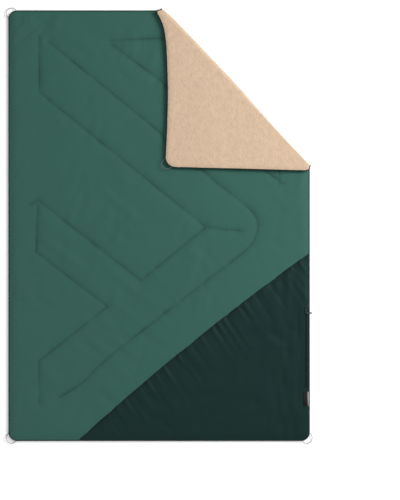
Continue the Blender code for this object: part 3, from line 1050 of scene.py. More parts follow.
def start_material(name: str, roughness: float) -> tuple[Material, Nodes, Node]:
    """Start a material.

    Args:
        name: Its name.
        roughness: How dull its surface is.

    Returns:
        The material, its helper and its shader.
    """
    made = bpy.data.materials.new(name)
    made.use_nodes = True
    nodes = Nodes(made.node_tree)
    shader = made.node_tree.nodes["Principled BSDF"]
    shader.inputs["Roughness"].default_value = roughness
    return made, nodes, shader


def tinted(n: Nodes, colour: Colour, *shades: object) -> Socket:
    """A colour made lighter and darker by shades.

    Args:
        n: The material's helper.
        colour: The base colour.
        *shades: Values round 1.

    Returns:
        The changing colour.
    """
    product: object = shades[0]
    for shade in shades[1:]:
        product = n.math("MULTIPLY", product, shade)
    node = n.add("ShaderNodeVectorMath", operation="SCALE")
    node.inputs[0].default_value = colour
    n.join(product, node.inputs["Scale"])
    return node.outputs[0]


def bumped(n: Nodes, shader: Node, height: object, distance: float,
           strength: float = 1.0, after: object = None) -> Socket:
    """Feed a height to the shader's normal.

    Args:
        n: The material's helper.
        shader: The shader.
        height: The height.
        distance: How far a height of 1 stands out, in metres.
        strength: How much of it shows.
        after: An earlier bump's normal.

    Returns:
        The new normal.
    """
    node = n.add("ShaderNodeBump")
    node.inputs["Distance"].default_value = distance
    node.inputs["Strength"].default_value = strength
    n.join(height, node.inputs["Height"])
    if after is not None:
        n.join(after, node.inputs["Normal"])
    n.join(node.outputs[0], shader.inputs["Normal"])
    return node.outputs[0]


@dataclass(frozen=True)
class ClothFinish:
    """A woven cloth whose pattern follows its flat coordinates."""

    name: str
    colour: Colour
    roughness: float = 0.72
    sheen: float = 0.03
    # Share of the colour left in the middle of a sewn crease: painted shade.
    crease_shade: float = 0.60
    crease_width: float = 0.0042
    pucker: float = 0.0005
    reach: float = 0.012
    mottle: float = 0.05

    def make(self) -> Material:
        """Build the material.

        Returns:
            The material.
        """
        made, n, shader = start_material(self.name, self.roughness)
        flat = n.attribute("flat").outputs["Vector"]
        sewn = n.add("ShaderNodeSeparateXYZ")
        n.join(n.attribute("sewn").outputs["Vector"], sewn.inputs[0])
        weave = group(n, Effect.WEAVE, Vector=flat)
        dye = group(n, Effect.MOTTLE, Vector=flat, Amount=self.mottle)
        crease = group(n, Effect.CREASE, Away=sewn.outputs[0], Along=sewn.outputs[1],
                       Near=sewn.outputs[2], Pucker=self.pucker, Reach=self.reach,
                       Width=self.crease_width)
        # Painted shade: the crease mask darkens the base colour in and beside the sewn lines.
        dark = n.span(crease.outputs["Mask"], 0.0, 1.0, 1.0, self.crease_shade)
        n.join(tinted(n, self.colour, weave.outputs["Shade"], dye.outputs["Shade"], dark),
               shader.inputs["Base Color"])
        n.join(n.span(weave.outputs["Height"], 0.1, 0.9, self.roughness + 0.08,
                      self.roughness - 0.06), shader.inputs["Roughness"])
        first = bumped(n, shader, crease.outputs["Height"], 1.0)
        bumped(n, shader, weave.outputs["Height"], 0.00018, 0.6, first)
        shader.inputs["Sheen Weight"].default_value = self.sheen
        shader.inputs["Sheen Roughness"].default_value = 0.5
        shader.inputs["Sheen Tint"].default_value = (*self.colour, 1)
        shader.inputs["Specular IOR Level"].default_value = 0.12
        return made


@dataclass(frozen=True)
class FleeceFinish:
    """Brushed fleece with a short, dense pile."""

    name: str
    colour: Colour

    def make(self) -> Material:
        """Build the material.

        Returns:
            The material.
        """
        made, n, shader = start_material(self.name, 0.95)
        flat = n.attribute("flat").outputs["Vector"]
        pile = group(n, Effect.PILE, Vector=flat)
        dye = group(n, Effect.MOTTLE, Vector=flat, Amount=0.03)
        n.join(tinted(n, self.colour, pile.outputs["Shade"], dye.outputs["Shade"]),
               shader.inputs["Base Color"])
        bumped(n, shader, pile.outputs["Height"], 0.0012, 0.55)
        shader.inputs["Sheen Weight"].default_value = 0.25
        shader.inputs["Sheen Roughness"].default_value = 0.6
        shader.inputs["Sheen Tint"].default_value = (*self.colour, 1)
        shader.inputs["Specular IOR Level"].default_value = 0.15
        return made


@dataclass(frozen=True)
class CordFinish:
    """Ribbed binding, braided elastic or a coil, whose pattern follows its run."""

    name: str
    colour: Colour
    ribs: float = 2400.0
    strands: float = 0.0
    depth: float = 0.0003
    roughness: float = 0.7

    def make(self) -> Material:
        """Build the material.

        Returns:
            The material.
        """
        made, n, shader = start_material(self.name, self.roughness)
        run = n.add("ShaderNodeSeparateXYZ")
        marks = n.attribute("run").outputs["Vector"]
        n.join(marks, run.inputs[0])
        round_angle = n.math("ARCTAN2", run.outputs[1], run.outputs[0])
        along = n.math("MULTIPLY", run.outputs[2], self.ribs)
        if self.strands:
            turn = n.math("MULTIPLY", round_angle, self.strands)
            a = n.math("SINE", n.math("ADD", along, turn))
            b = n.math("SINE", n.math("SUBTRACT", along, turn))
            ridge = n.math("MAXIMUM", a, b)
        else:
            ridge = n.math("SINE", along)
        yarn = n.noise(marks, 260.0, 3.0)
        height = n.math("MULTIPLY_ADD", yarn, 0.6, n.math("MULTIPLY", ridge, 0.4))
        n.join(tinted(n, self.colour, n.span(height, -0.2, 0.8, 0.8, 1.12)),
               shader.inputs["Base Color"])
        bumped(n, shader, height, self.depth, 0.8)
        shader.inputs["Sheen Weight"].default_value = 0.02
        shader.inputs["Specular IOR Level"].default_value = 0.15
        return made


@dataclass(frozen=True)
class ThreadFinish:
    """Twisted sewing thread."""

    name: str
    colour: Colour

    def make(self) -> Material:
        """Build the material.

        Returns:
            The material.
        """
        made, n, shader = start_material(self.name, 0.6)
        place = n.add("ShaderNodeTexCoord").outputs["Object"]
        twist = n.noise(place, 2600.0, 2.0)
        n.join(tinted(n, self.colour, n.span(twist, 0.3, 0.7, 0.8, 1.15)),
               shader.inputs["Base Color"])
        bumped(n, shader, twist, 0.0001, 0.7)
        return made


@dataclass(frozen=True)
class MetalFinish:
    """Darkened cast metal, rubbed where it is handled."""

    name: str
    colour: Colour
    roughness: float = 0.36

    def make(self) -> Material:
        """Build the material.

        Returns:
            The material.
        """
        made, n, shader = start_material(self.name, self.roughness)
        shader.inputs["Metallic"].default_value = 1.0
        place = n.add("ShaderNodeTexCoord").outputs["Object"]
        grain = n.noise(place, 1400.0, 4.0)
        rubbed = n.noise(place, 260.0, 3.0)
        n.join(tinted(n, self.colour, n.span(rubbed, 0.35, 0.7, 0.8, 1.5)),
               shader.inputs["Base Color"])
        n.join(n.span(rubbed, 0.3, 0.7, self.roughness + 0.12, self.roughness - 0.08),
               shader.inputs["Roughness"])
        bumped(n, shader, grain, 0.00004, 0.5)
        return made


@dataclass(frozen=True)
class LabelFinish:
    """A woven black label with one plain pale bar along its sewn edge."""

    name: str
    colour: Colour
    bar: Colour
    bar_low: float
    bar_high: float

    def make(self) -> Material:
        """Build the material.

        Returns:
            The material.
        """
        made, n, shader = start_material(self.name, 0.78)
        place = n.add("ShaderNodeTexCoord").outputs["Object"]
        split = n.add("ShaderNodeSeparateXYZ")
        n.join(place, split.inputs[0])
        weave = group(n, Effect.WEAVE, Vector=place, Threads=3600.0)
        edge = 0.0002
        inside = n.math("MULTIPLY", n.span(split.outputs[0], self.bar_low, self.bar_low + edge,
                                           0.0, 1.0),
                        n.span(split.outputs[0], self.bar_high - edge, self.bar_high, 1.0, 0.0))
        mixed = n.blend(inside, (*self.colour, 1), (*self.bar, 1))
        node = n.add("ShaderNodeVectorMath", operation="SCALE")
        n.join(mixed, node.inputs[0])
        n.join(weave.outputs["Shade"], node.inputs["Scale"])
        n.join(node.outputs[0], shader.inputs["Base Color"])
        bumped(n, shader, weave.outputs["Height"], 0.0002, 0.7)
        shader.inputs["Sheen Weight"].default_value = 0.02
        shader.inputs["Specular IOR Level"].default_value = 0.15
        return made


FACE_GREEN = ClothFinish("face cloth green", (0.0265, 0.0870, 0.0690))
# The pocket cloth's strong, wide crease shade is a painted shadow along its seam, under the green
# cloth's edge.
PANEL_GREEN = ClothFinish("pocket cloth dark green", (0.0038, 0.0186, 0.0168), roughness=0.66,
                          crease_shade=0.35, crease_width=0.0065, pucker=0.0012, reach=0.035)
LINING_GREEN = ClothFinish("pocket lining green", (0.0045, 0.018, 0.016), roughness=0.7)
TAPE_GREEN = ClothFinish("zip tape", (0.0050, 0.019, 0.017), roughness=0.8, pucker=0.0)
CREAM_FLEECE = FleeceFinish("cream fleece", (0.470, 0.345, 0.244))
BATTING_WHITE = FleeceFinish("batting", (0.80, 0.80, 0.78))
BINDING_GREEN = CordFinish("edge binding", (0.0048, 0.0190, 0.0155), ribs=3600.0, depth=0.00025)
COIL_BLACK = CordFinish("zip coil", (0.010, 0.016, 0.016), ribs=300.0, depth=0.00002,
                        roughness=0.35)
LOOP_GREY = CordFinish("elastic loop", (0.105, 0.110, 0.112), ribs=2600.0, strands=4.0)
FACE_THREAD = ThreadFinish("face thread", (0.016, 0.055, 0.044))
DARK_THREAD = ThreadFinish("pocket thread", (0.0060, 0.023, 0.020))
ZIP_METAL = MetalFinish("zip metal", (0.045, 0.060, 0.057))
TAB_GREEN = ThreadFinish("pull tab moulding", (0.014, 0.036, 0.032))
LABEL_BLACK = LabelFinish("woven label", (0.012, 0.012, 0.013), (0.74, 0.74, 0.72), 0.6902,
                          0.6922)

MADE: dict[str, Material] = {}


def dress(item: Piece, finish: object) -> None:
    """Give a piece its material.

    Args:
        item: The piece.
        finish: Its finish, which is built once.
    """
    if finish.name not in MADE:
        MADE[finish.name] = finish.make()
    item.data.materials.clear()
    item.data.materials.append(MADE[finish.name])


def mark_cloth(mesh: Mesh, x: Array, y: Array, z: Array, away: Array, along: Array,
           fade: float = 0.018) -> None:
    """Keep a cloth's flat place and its place against its sewn line.

    Args:
        mesh: The cloth.
        x: Flat places across.
        y: Flat places along.
        z: Flat height, which keeps folded layers apart.
        away: Distance from the sewn line.
        along: Distance along the sewn line.
        fade: Distance over which the sewn line stops counting.
    """
    mark(mesh, "flat", np.stack((x, y, z), axis=1))
    mark(mesh, "sewn", np.stack((away, along, np.exp(-np.abs(away) / fade)), axis=1))


# Pieces.


@dataclass
class QuiltedFace:
    """The green face cloth of the body and of the folded corner, with its quilting thread."""

    cell: float = 0.005
    stitch_pitch: float = 0.0042
    thread: float = 0.0006
    clear: float = 0.004

    def build_body(self) -> Piece:
        """The face cloth beside the pocket.

        Returns:
            The cloth.
        """

        def inside(x: Array, y: Array) -> Array:
            """Distance inside the cloth's cut.

            Args:
                x: Positions across.
                y: Positions along.

            Returns:
                Distance from the cut, positive inside.
            """
            seam = PLAN.seam_place(x, y)[0]
            edge = PLAN.edge_distance(x, y) - PLAN.cloth_inset
            return np.minimum(np.minimum(edge, seam + 0.0015), PLAN.fold_distance(x, y))

        shape = cloth_grid(WHOLE_NET, self.cell, inside)
        item = mesh_from("face_cloth", shape)
        co = coordinates(item.data)
        x, y = co[:, 0], co[:, 1]
        seam, seam_along = PLAN.seam_place(x, y)
        sunk = 0.0026 * np.exp(-((np.maximum(seam, 0) / 0.012) ** 1.2))
        gather = lattice(seam_along, seam * 0.2, 0.019, 31) * np.exp(-np.maximum(seam, 0) / 0.035)
        co[:, 2] = FACE.quilt(x, y) - sunk * FACE.edge_rise(x, y) + 0.0007 * gather
        co[:, 2] = np.minimum(co[:, 2], PLAN.face_top)
        set_coordinates(item.data, co)
        away, along = QUILTING.place(x, y)
        mark_cloth(item.data, x, y, np.zeros(len(x)), away, along)
        dress(item, FACE_GREEN)
        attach(item, "blanket")
        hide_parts("shell_main")
        return item

    def build_flap(self) -> Piece:
        """The face cloth of the folded corner, which lies face down.

        Returns:
            The cloth.
        """

        def inside(x: Array, y: Array) -> Array:
            """Distance inside the cloth's cut."""
            edge = PLAN.folded_edge(x, y)
            return np.minimum(edge - PLAN.cloth_inset, PLAN.fold_distance(x, y))

        shape = cloth_grid(CORNER_NET, self.cell, inside)
        bmesh.ops.reverse_faces(shape, faces=shape.faces)
        item = mesh_from("flap_face_cloth", shape)
        co = coordinates(item.data)
        x, y = PLAN.unfolded(co[:, 0], co[:, 1])
        rise = FACE.bowed(PLAN.folded_edge(co[:, 0], co[:, 1]), FACE.edge_width)
        high = FACE.edge_height + (FACE.quilt(x, y) - FACE.edge_height) * rise
        co[:, 2] = 2 * PLAN.hinge_height - np.minimum(high, PLAN.face_top)
        set_coordinates(item.data, co)
        away, along = QUILTING.place(x, y)
        mark_cloth(item.data, x, y, np.zeros(len(x)), away, along)
        dress(item, FACE_GREEN)
        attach(item, "corner")
        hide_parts("shell_flap")
        return item

    def sew(self) -> Piece:
        """The quilting thread on the body's face.

        Returns:
            The thread.
        """
        template = stitch_shape(self.stitch_pitch * STITCH_SHARE, self.thread)
        places = []
        for line in QUILTING.lines:
            for place in stitch_places(line, self.stitch_pitch, FACE.quilt):
                spot = place.translation
                x, y = np.array([spot.x]), np.array([spot.y])
                away = min(PLAN.fold_distance(x, y)[0], PLAN.seam_place(x, y)[0][0])
                if away > self.clear:
                    places.append(place)
        item = scatter("quilting_thread", template, places)
        dress(item, FACE_THREAD)
        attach(item, "blanket")
        return item

    def build(self) -> list[Piece]:
        """Build and dress every piece."""
        return [self.build_body(), self.build_flap(), self.sew()]


@dataclass
class CornerPocket:
    """The dark pocket at the foot: outer cloth, lining and the topstitched seam."""

    cell: float = 0.005
    lining_cell: float = 0.010
    stitch_pitch: float = 0.0040
    stitch_inset: float = 0.0040
    thread: float = 0.0006
    tape_lap: float = 0.0035
    end_gap: float = 0.001
    zip_rim: float = 0.004
    rim_lift: float = 0.0003

    @staticmethod
    def outline(x: Array, y: Array) -> Array:
        """Distance inside the pocket's cut."""
        seam = PLAN.seam_place(x, y)[0]
        return np.minimum(PLAN.edge_distance(x, y) - PLAN.cloth_inset, -seam)

    def build_panel(self) -> Piece:
        """The outer cloth, cut away for the zip.

        Returns:
            The cloth.
        """
        tape_low, tape_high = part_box("zip_tape_inner")
        stops_low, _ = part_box("zip_stop_bottom")
        _, stops_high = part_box("zip_stop_top")

        def inside(x: Array, y: Array) -> Array:
            """Distance inside the cloth's cut.

            Args:
                x: Positions across.
                y: Positions along.

            Returns:
                Distance from the cut, positive inside.
            """
            notch_x = tape_low.x + self.tape_lap - x
            notch_y = np.maximum(stops_low.y - self.end_gap - y, y - stops_high.y - self.end_gap)
            return np.minimum(self.outline(x, y), np.maximum(notch_x, notch_y))

        shape = cloth_grid(POCKET_NET, self.cell, inside)
        item = mesh_from("pocket_cloth", shape)
        co = coordinates(item.data)
        x, y = co[:, 0], co[:, 1]
        co[:, 2] = FACE.panel(x, y)
        rim = self.zip_rim
        near_zip = (x > tape_low.x - rim) & (y > stops_low.y - rim) & (y < stops_high.y + rim)
        co[near_zip, 2] = tape_high.z + self.rim_lift
        set_coordinates(item.data, co)
        away, along = PLAN.seam_place(x, y)
        # The slow fade carries the seam's painted shadow and puckers well into the pocket cloth.
        mark_cloth(item.data, x, y, np.zeros(len(x)), away, along, 0.05)
        dress(item, PANEL_GREEN)
        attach(item, "blanket")
        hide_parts("pocket_panel")
        return item

    def build_lining(self) -> Piece:
        """The lining behind the outer cloth, which also shows under the zip.

        Returns:
            The lining.
        """
        shape = cloth_grid(POCKET_NET, self.lining_cell, self.outline)
        item = mesh_from("pocket_back", shape)
        co = coordinates(item.data)
        x, y = co[:, 0], co[:, 1]
        co[:, 2] = np.minimum(FACE.panel(x, y) - 0.0012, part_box("pocket_lining")[1].z)
        set_coordinates(item.data, co)
        mark_cloth(item.data, x, y, np.zeros(len(x)), np.ones(len(x)), np.zeros(len(x)))
        dress(item, LINING_GREEN)
        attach(item, "blanket")
        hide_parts("pocket_lining")
        return item

    def sew(self) -> Piece:
        """Topstitching along the seam, on the pocket's side.

        Returns:
            The thread.
        """
        start, end = Vector(PLAN.pocket_foot), Vector(PLAN.pocket_side)
        run = end - start
        out = Vector((-run.y, run.x)).normalized()
        line = []
        for k in range(3, 118):
            t = k / 120
            aside = 4 * PLAN.seam_bulge * t * (1 - t) - self.stitch_inset
            spot = start + t * run + aside * out
            line.append((spot.x, spot.y))
        template = stitch_shape(self.stitch_pitch * STITCH_SHARE, self.thread)
        item = scatter("seam_thread", template, stitch_places(line, self.stitch_pitch, FACE.panel))
        dress(item, DARK_THREAD)
        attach(item, "blanket")
        return item

    def build(self) -> list[Piece]:
        """Build and dress every piece."""
        return [self.build_panel(), self.build_lining(), self.sew()]


@dataclass
class PocketZip:
    """The pocket's zip: tapes, coils, stops, slider, pull and tab."""

    pitch: float = 0.0018
    wire: float = 0.00032
    end_gap: float = 0.0004
    tape_rounding: float = 0.00025

    def tape(self, node: str) -> Piece:
        """A woven tape with rounded edges.

        Args:
            node: The CAD tape that it replaces.

        Returns:
            The tape.
        """
        low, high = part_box(node)
        shape = bmesh.new()
        bmesh.ops.create_cube(shape, size=1)
        bmesh.ops.scale(shape, vec=high - low, verts=shape.verts)
        bmesh.ops.translate(shape, vec=(low + high) / 2, verts=shape.verts)
        bmesh.ops.bevel(shape, geom=shape.edges[:], offset=self.tape_rounding, affect="EDGES",
                        segments=2, profile=0.5, material=-1)
        item = mesh_from(node + "_woven", shape)
        co = coordinates(item.data)
        mark_cloth(item.data, co[:, 0], co[:, 1], co[:, 2], np.ones(len(co)), np.zeros(len(co)))
        dress(item, TAPE_GREEN)
        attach(item, "blanket")
        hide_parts(node)
        return item

    def coil(self, node: str, hand: int) -> Piece:
        """A wound coil of nylon wire.

        Args:
            node: The CAD coil that it replaces.
            hand: 1 or -1, the way it winds.

        Returns:
            The coil.
        """
        low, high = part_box(node)
        centre = (low + high) / 2
        reach = (high.z - low.z) / 2 - self.wire
        turns = round((high.y - low.y) / self.pitch)
        count = turns * 9
        points = []
        for k in range(count + 1):
            angle = hand * 2 * math.pi * turns * k / count
            y = low.y + self.end_gap + (high.y - low.y - 2 * self.end_gap) * k / count
            points.append(Vector((centre.x + reach * math.cos(angle), y,
                                  centre.z + reach * math.sin(angle))))
        item = sweep(node + "_wound", points, self.wire, sides=4)
        dress(item, COIL_BLACK)
        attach(item, "blanket")
        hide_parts(node)
        return item

    def softened(self, node: str, body: str, offset: float, finish: object) -> Piece:
        """A CAD piece with its sharp edges rounded.

        Args:
            node: The CAD node that is copied.
            body: The body it moves with.
            offset: Size of the rounding.
            finish: Its finish.

        Returns:
            The softened copy.
        """
        shape = bmesh.new()
        shape.from_mesh(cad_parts[node].data)
        bmesh.ops.remove_doubles(shape, verts=shape.verts, dist=0.00001)
        bmesh.ops.dissolve_limit(shape, angle_limit=math.radians(3), verts=shape.verts,
                                 edges=shape.edges)
        sharp = [e for e in shape.edges if len(e.link_faces) == 2
                 and e.calc_face_angle(0) > math.radians(35)]
        bmesh.ops.bevel(shape, geom=sharp, offset=offset, affect="EDGES", segments=2, profile=0.5,
                        material=-1, clamp_overlap=True)
        bmesh.ops.triangulate(shape, faces=shape.faces)
        item = mesh_from(node + "_softened", shape)
        dress(item, finish)
        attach(item, body)
        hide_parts(node)
        return item

    def build(self) -> list[Piece]:
        """Build and dress every piece.

        Returns:
            The pieces.
        """
        return [
            self.tape("zip_tape_outer"), self.tape("zip_tape_inner"),
            self.coil("zip_coil_outer", 1), self.coil("zip_coil_inner", -1),
            self.softened("zip_stop_top", "blanket", 0.0002, ZIP_METAL),
            self.softened("zip_stop_bottom", "blanket", 0.0002, ZIP_METAL),
            self.softened("zip_slider", "slider", 0.00025, ZIP_METAL),
            self.softened("zip_pull", "pull", 0.0002, ZIP_METAL),
            self.softened("pull_tab", "pull", 0.0002, TAB_GREEN),
        ]


@dataclass
class Batting:
    """The soft filling between the face and the fleece."""

    cell: float = 0.025
    low_height: float = 0.0045
    high_height: float = 0.0080

    def layer(self, name: str, node: str, body: str, folded: bool) -> Piece:
        """One layer of filling.

        Args:
            name: The piece's name.
            node: The CAD node it replaces.
            body: The body it moves with.
            folded: Whether it is the folded corner's.

        Returns:
            The filling.
        """

        def inside(x: Array, y: Array) -> Array:
            """Distance inside the filling's cut.

            Args:
                x: Positions across.
                y: Positions along.

            Returns:
                Distance from the cut, positive inside.
            """
            edge = PLAN.flap_distance(x, y) if folded else PLAN.edge_distance(x, y)
            near = np.minimum(edge - 0.020, PLAN.fold_distance(x, y) - 0.004)
            return np.minimum(near, PLAN.fold_end(x, y) - 0.045)

        shape = cloth_grid(CORNER_NET if folded else WHOLE_NET, self.cell, inside)
        grown = bmesh.ops.extrude_face_region(shape, geom=shape.faces[:])["geom"]
        top = [g for g in grown if isinstance(g, bmesh.types.BMVert)]
        bmesh.ops.translate(shape, vec=(0, 0, 1), verts=top)
        bmesh.ops.recalc_face_normals(shape, faces=shape.faces)
        item = mesh_from(name, shape)
        co = coordinates(item.data)
        edge = inside(co[:, 0], co[:, 1])
        swell = 1 - (1 - np.clip(edge / 0.03, 0, 1)) ** 2
        middle = (self.low_height + self.high_height) / 2
        half = (self.high_height - self.low_height) / 2 * (0.35 + 0.65 * swell)
        height = np.where(co[:, 2] > 0.5, middle + half, middle - half)
        co[:, 2] = 2 * PLAN.hinge_height - height if folded else height
        set_coordinates(item.data, co)
        if folded:
            item.data.flip_normals()
        mark(item.data, "flat", co)
        dress(item, BATTING_WHITE)
        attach(item, body)
        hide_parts(node)
        return item

    def build(self) -> list[Piece]:
        """Build and dress both layers."""
        return [self.layer("batting_body", "insulation_main", "blanket", False),
                self.layer("batting_corner", "insulation_flap", "corner", True)]


@dataclass
class FleeceLining:
    """The cream fleece: the underside, and the folded corner with its roll over the fold."""

    cell: float = 0.0026
    under_cell: float = 0.0072
    roll_steps: int = 22
    strip: float = 0.012

    @staticmethod
    def pile(x: Array, y: Array) -> Array:
        """Uneven height of the pile."""
        return (lattice(x, y, 0.0085, 41) * 0.45 + lattice(x, y, 0.0047, 42) * 0.55
                + lattice(x, y, 0.055, 43) * 0.7)

    def build_under(self) -> Piece:
        """The fleece that lies on the floor.

        Returns:
            The fleece.
        """

        def inside(x: Array, y: Array) -> Array:
            """Distance inside the fleece's cut."""
            return np.minimum(PLAN.edge_distance(x, y) - PLAN.cloth_inset,
                              PLAN.fold_distance(x, y))

        shape = cloth_grid(WHOLE_NET, self.under_cell, inside)
        bmesh.ops.reverse_faces(shape, faces=shape.faces)
        item = mesh_from("fleece_under", shape)
        co = coordinates(item.data)
        x, y = co[:, 0], co[:, 1]
        nap = (self.pile(x, y) + 1.7) * 0.00022
        co[:, 2] = FACE.under(PLAN.edge_distance(x, y)) + nap
        set_coordinates(item.data, co)
        mark(item.data, "flat", co)
        dress(item, CREAM_FLEECE)
        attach(item, "blanket")
        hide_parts("fleece_main")
        return item

    def build_corner(self) -> Piece:
        """The folded corner's fleece, drawn round the fold and a little way under the body.

        Returns:
            The fleece.
        """
        out3 = Vector((*PLAN.across(), 0))
        along = Vector((*PLAN.along(), 0))
        start = Vector((*PLAN.head_point, PLAN.hinge_height))
        long = (Vector(PLAN.side_point) - Vector(PLAN.head_point)).length

        def inside(x: Array, y: Array) -> Array:
            """Distance inside the fleece's cut."""
            edge = PLAN.folded_edge(x, y)
            return np.minimum(edge - PLAN.cloth_inset, PLAN.fold_distance(x, y))

        shape = cloth_grid(CORNER_NET, self.cell, inside)
        rest = np.array([v.co[:2] for v in shape.verts])
        x, y = rest[:, 0], rest[:, 1]
        away = PLAN.fold_distance(x, y)
        swell = lattice(x, y, 0.12, 44) * 0.0010 * ramp(away, 0.0, 0.05)
        top = 2 * PLAN.hinge_height - FACE.under(PLAN.folded_edge(x, y)) - 0.0006
        flat_mark = shape.verts.layers.float_vector.new("flat")
        pile = self.pile(x, y) * 0.0008
        for vert, z, p in zip(shape.verts, top + swell, pile):
            vert[flat_mark] = vert.co.copy()
            vert.co.z = z + p
        rim = [e for e in shape.edges if e.is_boundary and all(
            abs((v.co.xy - Vector(PLAN.head_point)).dot(PLAN.across())) < 0.0004
            for v in e.verts)]
        before = set(shape.verts)
        bmesh.ops.spin(shape, geom=rim, cent=start, axis=-along, dvec=(0, 0, 0), angle=math.pi,
                       steps=self.roll_steps, use_merge=False, use_duplicate=False)
        grown = [v for v in shape.verts if v not in before]
        for vert in grown:
            rel = vert.co - start
            reach = rel.dot(out3)
            share = min(max(rel.dot(along) / long, 0), 1)
            stretch = float(np.interp(share, *zip(*PLAN.fold_reach)))
            turn = math.atan2(rel.z, reach)
            vert.co += out3 * (reach * (stretch - 1))
            vert[flat_mark] = Vector((vert.co.x, vert.co.y, 0.02 * turn))
        ends = [e for e in shape.edges if e.is_boundary and all(
            v.co.z < 0.008 and abs((v.co - start).dot(out3)) < 0.0006 for v in e.verts)]
        drawn = bmesh.ops.extrude_edge_only(shape, edges=ends)["geom"]
        moved = [g for g in drawn if isinstance(g, bmesh.types.BMVert)]
        bmesh.ops.translate(shape, vec=-out3 * self.strip + Vector((0, 0, 0.0004)), verts=moved)
        bmesh.ops.recalc_face_normals(shape, faces=shape.faces)
        top_face = max(shape.faces, key=lambda f: f.calc_center_median().z)
        if top_face.normal.z < 0:
            bmesh.ops.reverse_faces(shape, faces=shape.faces)
        item = mesh_from("fleece_corner", shape)
        co = coordinates(item.data)
        co[:, 2] = np.maximum(co[:, 2], 0.0002)
        set_coordinates(item.data, co)
        dress(item, CREAM_FLEECE)
        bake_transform(item)
        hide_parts("fleece_flap", "fold_roll")
        return item

    def build(self) -> list[Piece]:
        """Build and dress both pieces."""
        return [self.build_under(), self.build_corner()]


@dataclass
class EdgeBinding:
    """The dark binding sewn round the whole edge, turning over with the folded corner."""

    spacing: float = 0.012
    sides: int = 12
    stitch_inset: float = 0.0075
    stitch_pitch: float = 0.0040
    stitch_length: float = 0.0033
    thread: float = 0.0006

    def path(self) -> list[Vector]:
        """The binding's middle line: round the body, up over the fold and round the corner.

        Returns:
            Points of the line.
        """
        inset = PLAN.binding_radius
        radius = PLAN.corner_radius - inset
        low, high = PLAN.binding_height, 2 * PLAN.hinge_height - PLAN.binding_height
        hw, hl = PLAN.width / 2 - inset, PLAN.length / 2 - inset
        head, side = PLAN.fold_ends(inset)
        body = self.rounded([(head.x, hl, 0), (-hw, hl, radius), (-hw, -hl, radius),
                             (hw, -hl, radius), (hw, side.y, 0)])
        flap = [side, *self.flap_line(inset), head]
        return [Vector((p.x, p.y, low)) for p in body] + self.turn_over(side, -1)[1:-1] + [
            Vector((p.x, p.y, high)) for p in flap] + self.turn_over(head, 0)[::-1][1:-1]

    @staticmethod
    def turn_over(end: Vector, last: int) -> list[Vector]:
        """Half a turn round the fold's axis, from the body's height to the folded corner's.

        Args:
            end: The end of the fold.
            last: Which end of the fold's profile gives the turn's reach.

        Returns:
            Points of the turn, from the bottom up.
        """
        out = PLAN.across()
        radius = PLAN.hinge_height - PLAN.binding_height
        reach = radius * PLAN.fold_reach[last][1]
        turns = [math.pi * (k / 8 - 0.5) for k in range(9)]
        return [Vector((end.x + out.x * reach * math.cos(a), end.y + out.y * reach * math.cos(a),
                        PLAN.hinge_height + radius * math.sin(a))) for a in turns]

    def flap_line(self, inset: float) -> list[Vector]:
        """The folded corner's edge, from the side end of the fold to the head end.

        Args:
            inset: How far inside the edge the line runs.

        Returns:
            Points of the line.
        """
        to_head, to_side, centre = PLAN.flap_rounding()
        side = [Vector(p) for p in reversed(eased(PLAN.side_edge, 6))]
        head = [Vector(p) for p in eased(PLAN.head_edge, 6)]
        out = [p for p in self.moved_in(side, inset) if (p - centre).dot(to_side) > 0.004]
        first = Vector((to_side.y, -to_side.x))
        last = Vector((-to_head.y, to_head.x))
        turn = first.angle_signed(last)
        radius = PLAN.drawn_radius - inset
        out += [centre + Matrix.Rotation(-turn * k / 10, 2) @ first * radius for k in range(11)]
        out += [p for p in self.moved_in(head, inset) if (p - centre).dot(to_head) > 0.004]
        return out

    @staticmethod
    def moved_in(line: Sequence[Vector], inset: float) -> list[Vector]:
        """A line moved to its right-hand side, towards the middle of the folded corner.

        Args:
            line: The line.
            inset: How far it is moved.

        Returns:
            The moved line.
        """
        out = []
        for i, point in enumerate(line):
            run = (line[min(i + 1, len(line) - 1)] - line[max(i - 1, 0)]).normalized()
            out.append(point + inset * Vector((run.y, -run.x)))
        return out

    def rounded(self, corners: Sequence[tuple[float, float, float]]) -> list[Vector]:
        """Evenly spaced points along straight edges with rounded corners.

        Args:
            corners: Each corner's place and radius.

        Returns:
            Points of the path.
        """
        points = []
        for i, (x, y, radius) in enumerate(corners):
            here = Vector((x, y))
            if radius <= 0:
                points.append(here)
                continue
            back = (Vector(corners[i - 1][:2]) - here).normalized()
            ahead = (Vector(corners[i + 1][:2]) - here).normalized()
            half = math.acos(back.dot(ahead)) / 2
            middle = here + (back + ahead).normalized() * (radius / math.sin(half))
            first = here + back * (radius / math.tan(half)) - middle
            turn = math.pi - 2 * half
            if back.x * ahead.y - back.y * ahead.x > 0:
                turn = -turn
            points += [middle + Matrix.Rotation(turn * k / 10, 2) @ first for k in range(11)]
        out = [points[0]]
        for a, b in zip(points, points[1:]):
            count = max(1, math.ceil((b - a).length / self.spacing))
            out += [a.lerp(b, k / count) for k in range(1, count + 1)]
        return out

    def build(self) -> list[Piece]:
        """Build and dress the binding and its topstitching.

        Returns:
            The binding and its thread.
        """
        item = sweep("edge_binding_cord", self.path(), PLAN.binding_radius, self.sides,
                     closed=True)
        shape = bmesh.new()
        shape.from_mesh(item.data)
        head, side = PLAN.fold_ends(PLAN.binding_radius)
        for end, last in ((head, 0), (side, -1)):
            shape.faces.new([shape.verts.new(p) for p in self.turn_over(end, last)])
        shape.to_mesh(item.data)
        shape.free()
        dress(item, BINDING_GREEN)
        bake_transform(item)
        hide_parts("binding_main", "binding_flap")
        return [item, self.sew()]

    def sew(self) -> Piece:
        """Topstitching along the binding's inner edge, on the body.

        Returns:
            The thread.
        """
        inset = self.stitch_inset
        r = PLAN.corner_radius - inset
        hw, hl = PLAN.width / 2 - inset, PLAN.length / 2 - inset
        line = self.rounded([(-0.030, hl, 0), (-hw, hl, r), (-hw, -hl, r), (hw, -hl, r),
                             (hw, PLAN.side_edge[-1][1] - 0.008, 0)])

